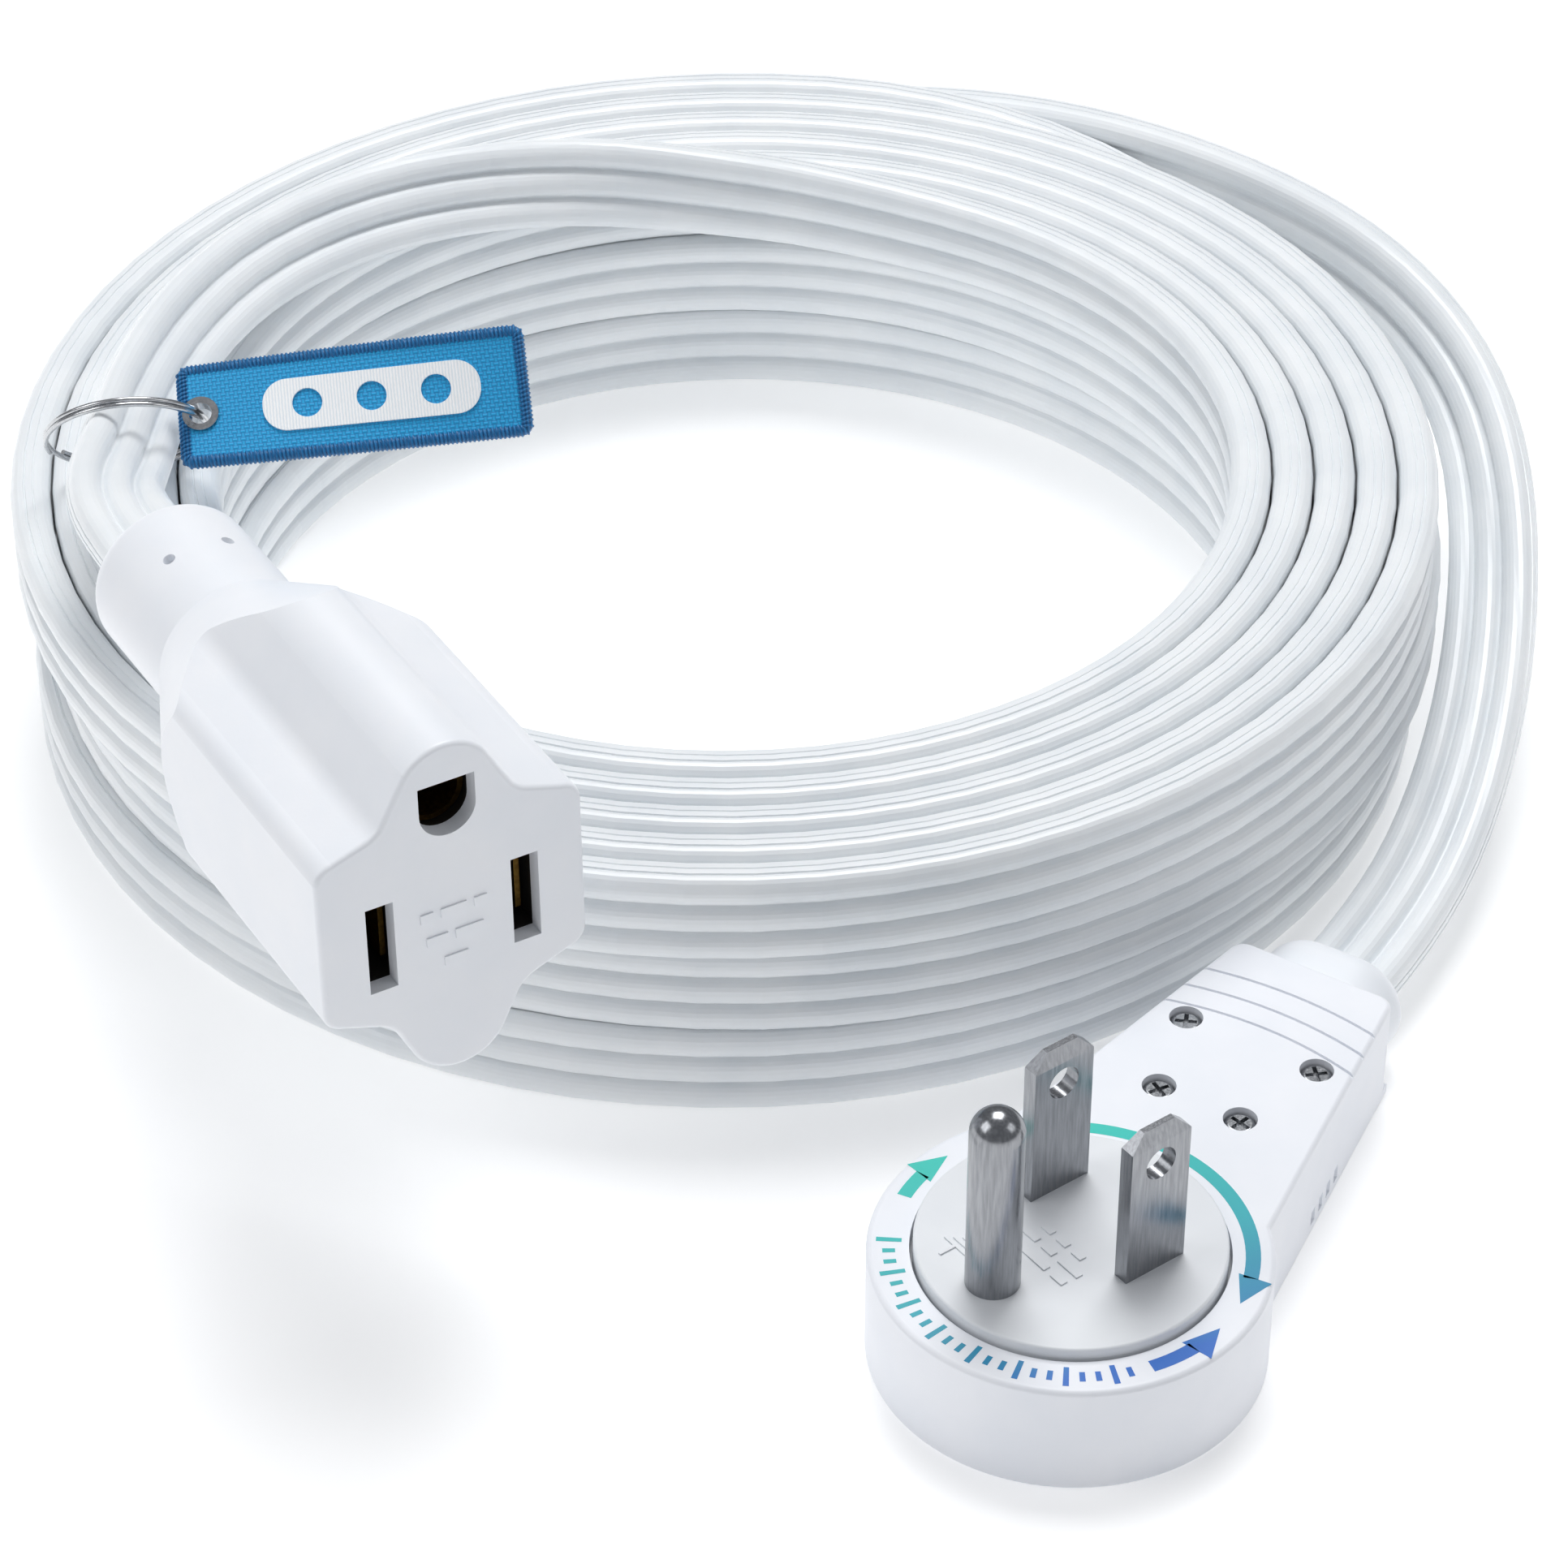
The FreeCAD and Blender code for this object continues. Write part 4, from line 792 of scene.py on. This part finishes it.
# %% Edge roll
ROLL_R = mm(0.58)
CORNER_R = mm(0.5)
start_piece()
bpy.ops.mesh.primitive_plane_add(size=1.0, location=(TAG_LENGTH / 2, 0, 0))
edge_roll = bpy.context.object
edge_roll.scale = (panel_size.x, panel_size.y, 1.0)
settle(edge_roll)
bpy.ops.object.mode_set(mode="EDIT")
bpy.ops.mesh.select_all(action="SELECT")
bpy.ops.mesh.bevel(offset=CORNER_R, segments=4, affect="VERTICES")
bpy.ops.mesh.select_all(action="SELECT")
bpy.ops.mesh.delete(type="ONLY_FACE")
bpy.ops.mesh.select_all(action="SELECT")
bpy.ops.mesh.subdivide(number_cuts=24)
bpy.ops.object.mode_set(mode="OBJECT")
bpy.ops.object.convert(target="CURVE")
edge_roll = bpy.context.object
edge_roll.data.bevel_depth = ROLL_R
edge_roll.data.bevel_resolution = 3
bpy.ops.object.convert(target="MESH")
edge_roll = bpy.context.object
turn_outward(edge_roll)

# %% Overlock loops
LOOP_STEP, LOOP_LIFT, THREAD_R = mm(0.42), mm(0.03), mm(0.14)
LOOP_LEAN = math.radians(18.0)
half = panel_size / 2
straight = Vector((panel_size.x - 2 * CORNER_R, panel_size.y - 2 * CORNER_R))
centre = Vector((TAG_LENGTH / 2, 0.0, 0.0))


def edge_stations():
    """Places and headings of the loops round the straight sides and the corners."""
    found = []
    for side in range(4):
        turn = math.pi / 2 * side
        length, away = (straight.x, half.y) if side % 2 == 0 else (straight.y, half.x)
        count = round(length / LOOP_STEP)
        for index in range(count):
            step = length * ((index + 0.5) / count - 0.5)
            found.append((step, -away, turn))
        corner = Vector((length / 2, -away + CORNER_R))
        for bend in (0.25, 0.75):
            swing = math.pi / 2 * bend
            found.append((corner.x + CORNER_R * math.sin(swing),
                          corner.y - CORNER_R * math.cos(swing), turn, swing))
    return found


start_piece()
bpy.ops.mesh.primitive_torus_add(major_radius=ROLL_R + LOOP_LIFT, minor_radius=THREAD_R,
                                 major_segments=12, minor_segments=5)
first_loop = bpy.context.object
loops = []
for station in edge_stations():
    x, y, turn = station[:3]
    swing = station[3] if len(station) > 3 else 0.0
    place = centre + Matrix.Rotation(turn, 4, "Z") @ Vector((x, y, 0.0))
    thread_loop = first_loop.copy()
    thread_loop.data = first_loop.data.copy()
    bpy.context.scene.collection.objects.link(thread_loop)
    thread_loop.matrix_world = (Matrix.Translation(place)
                                @ Matrix.Rotation(turn + swing + LOOP_LEAN, 4, "Z")
                                @ Matrix.Rotation(math.pi / 2, 4, "Y"))
    loops.append(thread_loop)
bpy.data.objects.remove(first_loop)
overlock = join(loops + [edge_roll], "overlocked_edge")
settle(overlock)
bpy.ops.object.shade_smooth()
hang(overlock)
print("Overlock:", len(loops), "loops,", len(overlock.data.polygons), "faces")

# %% [markdown]
# The face carries a small embroidered picture: the flat cable cut across, a white bar with its
# three cores left open. The bar is a plane with rounded corners, thickened, and three short
# cylinders are taken out of it with a Boolean. It is then cut across every millimetre, so that
# it can follow the tag's twist.

# %% Embroidered picture
STITCH_THICK, CUT_STEP, CUT_START = mm(0.3), mm(1.0), mm(0.9)
ROUND_SHARE = 0.46
BAR = Vector((mm(21.0), mm(5.2)))
BAR_MIDDLE = Vector((mm(18.8), 0.0, PANEL_THICK / 2 + mm(0.08)))
CORE_R, CORE_STEP = mm(1.45), mm(6.2)
start_piece()
bpy.ops.mesh.primitive_plane_add(size=1.0, location=BAR_MIDDLE)
picture = bpy.context.object
picture.name = "embroidered_cable"
picture.scale = (BAR.x, BAR.y, 1.0)
settle(picture)
bpy.ops.object.mode_set(mode="EDIT")
bpy.ops.mesh.select_all(action="SELECT")
bpy.ops.mesh.bevel(offset=BAR.y * ROUND_SHARE, segments=10, affect="VERTICES")
bpy.ops.object.mode_set(mode="OBJECT")
apply_modifier(picture, "SOLIDIFY", thickness=STITCH_THICK, offset=0.0)
for step in (-CORE_STEP, 0.0, CORE_STEP):
    start_piece()
    bpy.ops.mesh.primitive_cylinder_add(vertices=32, radius=CORE_R, depth=mm(2.0),
                                        location=BAR_MIDDLE + Vector((step, 0.0, 0.0)))
    core_hole = bpy.context.object
    apply_modifier(picture, "BOOLEAN", operation="DIFFERENCE", object=core_hole, solver="EXACT")
    bpy.data.objects.remove(core_hole)
bar_start, bar_end = BAR_MIDDLE.x - BAR.x / 2, BAR_MIDDLE.x + BAR.x / 2
for cut in np.arange(bar_start + CUT_START, bar_end, CUT_STEP):
    only(picture)
    bpy.ops.object.mode_set(mode="EDIT")
    bpy.ops.mesh.select_all(action="SELECT")
    bpy.ops.mesh.bisect(plane_co=(cut, 0, 0), plane_no=(1, 0, 0))
    bpy.ops.object.mode_set(mode="OBJECT")
turn_outward(picture)
hang(picture)
print("Picture:", len(picture.data.polygons), "faces")

# %% [markdown]
# ## Threads
# The panel is a plain weave of blue polyester, the edge a glossier darker thread, and the
# picture white satin stitch. The real threads are about 0.2 mm apart. The weave is drawn at
# twice that, so it still shows from where the camera stands. Two sets of bands cross, and a
# checker lets each pass over the other in turn.

# %% Woven and stitched materials
BANDS_PER_UNIT = 2 * math.pi / 20


def woven_cloth(name, light, dark, thread_mm):
    """Plain weave in the flat millimetres of the piece."""
    material, tree, shader = new_material(name)
    flat = add_node(tree, "ShaderNodeUVMap", {"uv_map": "flat_mm"}).outputs["UV"]
    band_scale = BANDS_PER_UNIT / thread_mm
    warp = add_node(tree, "ShaderNodeTexWave", {"bands_direction": "X"},
                    {"Vector": flat, "Scale": band_scale})
    weft = add_node(tree, "ShaderNodeTexWave", {"bands_direction": "Y"},
                    {"Vector": flat, "Scale": band_scale})
    over = add_node(tree, "ShaderNodeTexChecker", inputs={"Vector": flat, "Scale": 1 / thread_mm})
    height = add_node(tree, "ShaderNodeMix", {"data_type": "FLOAT"},
                      {0: over.outputs["Fac"], 2: warp.outputs["Fac"], 3: weft.outputs["Fac"]})
    tint = add_node(tree, "ShaderNodeValToRGB", inputs={"Fac": height.outputs[0]},
                    stops=[(0.1, linear(dark)), (0.75, linear(light))])
    bump = add_node(tree, "ShaderNodeBump",
                    inputs={"Height": height.outputs[0], "Strength": 0.9,
                            "Distance": mm(0.06)})
    tree.links.new(tint.outputs["Color"], shader.inputs["Base Color"])
    tree.links.new(bump.outputs["Normal"], shader.inputs["Normal"])
    set_inputs(shader, Roughness=0.6, Sheen_Weight=0.25, Sheen_Roughness=0.4)
    return material


def stitched_thread(name, light, dark, rough, thread_mm):
    """Threads lying side by side across the piece, each with its own shine."""
    material, tree, shader = new_material(name)
    flat = add_node(tree, "ShaderNodeUVMap", {"uv_map": "flat_mm"}).outputs["UV"]
    strands = add_node(tree, "ShaderNodeTexWave", {"bands_direction": "X"},
                       {"Vector": flat, "Scale": BANDS_PER_UNIT / thread_mm,
                        "Distortion": 1.2, "Detail": 2.0, "Detail Scale": 3.0})
    tint = add_node(tree, "ShaderNodeValToRGB", inputs={"Fac": strands.outputs["Fac"]},
                    stops=[(0.1, linear(dark)), (0.7, linear(light))])
    bump = add_node(tree, "ShaderNodeBump",
                    inputs={"Height": strands.outputs["Fac"], "Strength": 0.7,
                            "Distance": mm(0.05)})
    tree.links.new(tint.outputs["Color"], shader.inputs["Base Color"])
    tree.links.new(bump.outputs["Normal"], shader.inputs["Normal"])
    set_inputs(shader, Roughness=rough, Sheen_Weight=0.15, Sheen_Roughness=0.3)
    return material


blue_weave = woven_cloth("woven blue polyester", "#16A6E0", "#0A84C0", 0.4)
edge_thread = stitched_thread("blue overlock thread", "#1E78B4", "#155A8E", 0.42, 0.35)
white_thread = stitched_thread("white satin stitch", "#FFFFFF", "#E4ECF2", 0.45, 0.3)
belongs(panel, "tag", "tag_weave", blue_weave, "tag_panel")
belongs(overlock, "tag", "tag_thread", edge_thread, "tag_edge_binding")
belongs(picture, "tag", "tag_thread", white_thread)
print("Tag dressed:", blue_weave.name, edge_thread.name, white_thread.name)

# %% [markdown]
# ## Floor and light
# The floor is a plain white sweep. Large soft lights stand above and to the sides, and the
# white surroundings fill the shadows, so the only dark places are the gaps between strands
# and a soft line where things touch the floor.

# %% Floor
bpy.ops.object.select_all(action="DESELECT")
FLOOR_DROP_MM = 0.05
bpy.ops.mesh.primitive_plane_add(size=4.0, location=COIL_MIDDLE + mm(0, 0, -FLOOR_DROP_MM))
floor = bpy.context.object
floor.name = "floor"
paper, tree, shader = new_material("white paper sweep")
set_inputs(shader, Base_Color=linear("#FAFAFA"), Roughness=0.9,
           Emission_Color=linear("#FFFFFF"), Emission_Strength=0.28)
dress(floor, paper)

# %% Lights
def soft_light(name, target, azimuth, elevation, distance, size, power):
    """Square area light that faces a point, from an azimuth and elevation in degrees."""
    data = bpy.data.lights.new(name, "AREA")
    data.shape = "SQUARE"
    data.size = size
    data.energy = power
    lamp = bpy.data.objects.new(name, data)
    turn, rise = math.radians(azimuth), math.radians(elevation)
    away = Vector((math.cos(rise) * math.cos(turn), math.cos(rise) * math.sin(turn), math.sin(rise)))
    lamp.location = target + away * distance
    lamp.rotation_euler = away.to_track_quat("Z", "Y").to_euler()
    bpy.context.scene.collection.objects.link(lamp)
    return lamp


LIGHT_DISTANCE = 0.9
for name, azimuth, elevation, size, power in (("overhead light", 80, 70, 0.45, 5.4),
                                              ("left light", 200, 40, 0.5, 1.8),
                                              ("right light", -20, 35, 0.4, 0.7)):
    soft_light(name, COIL_MIDDLE, azimuth, elevation, LIGHT_DISTANCE, size, power)

surround = bpy.data.worlds.new("white surroundings")
surround.use_nodes = True
backdrop = surround.node_tree.nodes["Background"]
set_inputs(backdrop, Color=linear("#F6F9FF"), Strength=0.28)
bpy.context.scene.world = surround
bpy.context.scene.view_settings.view_transform = "Standard"
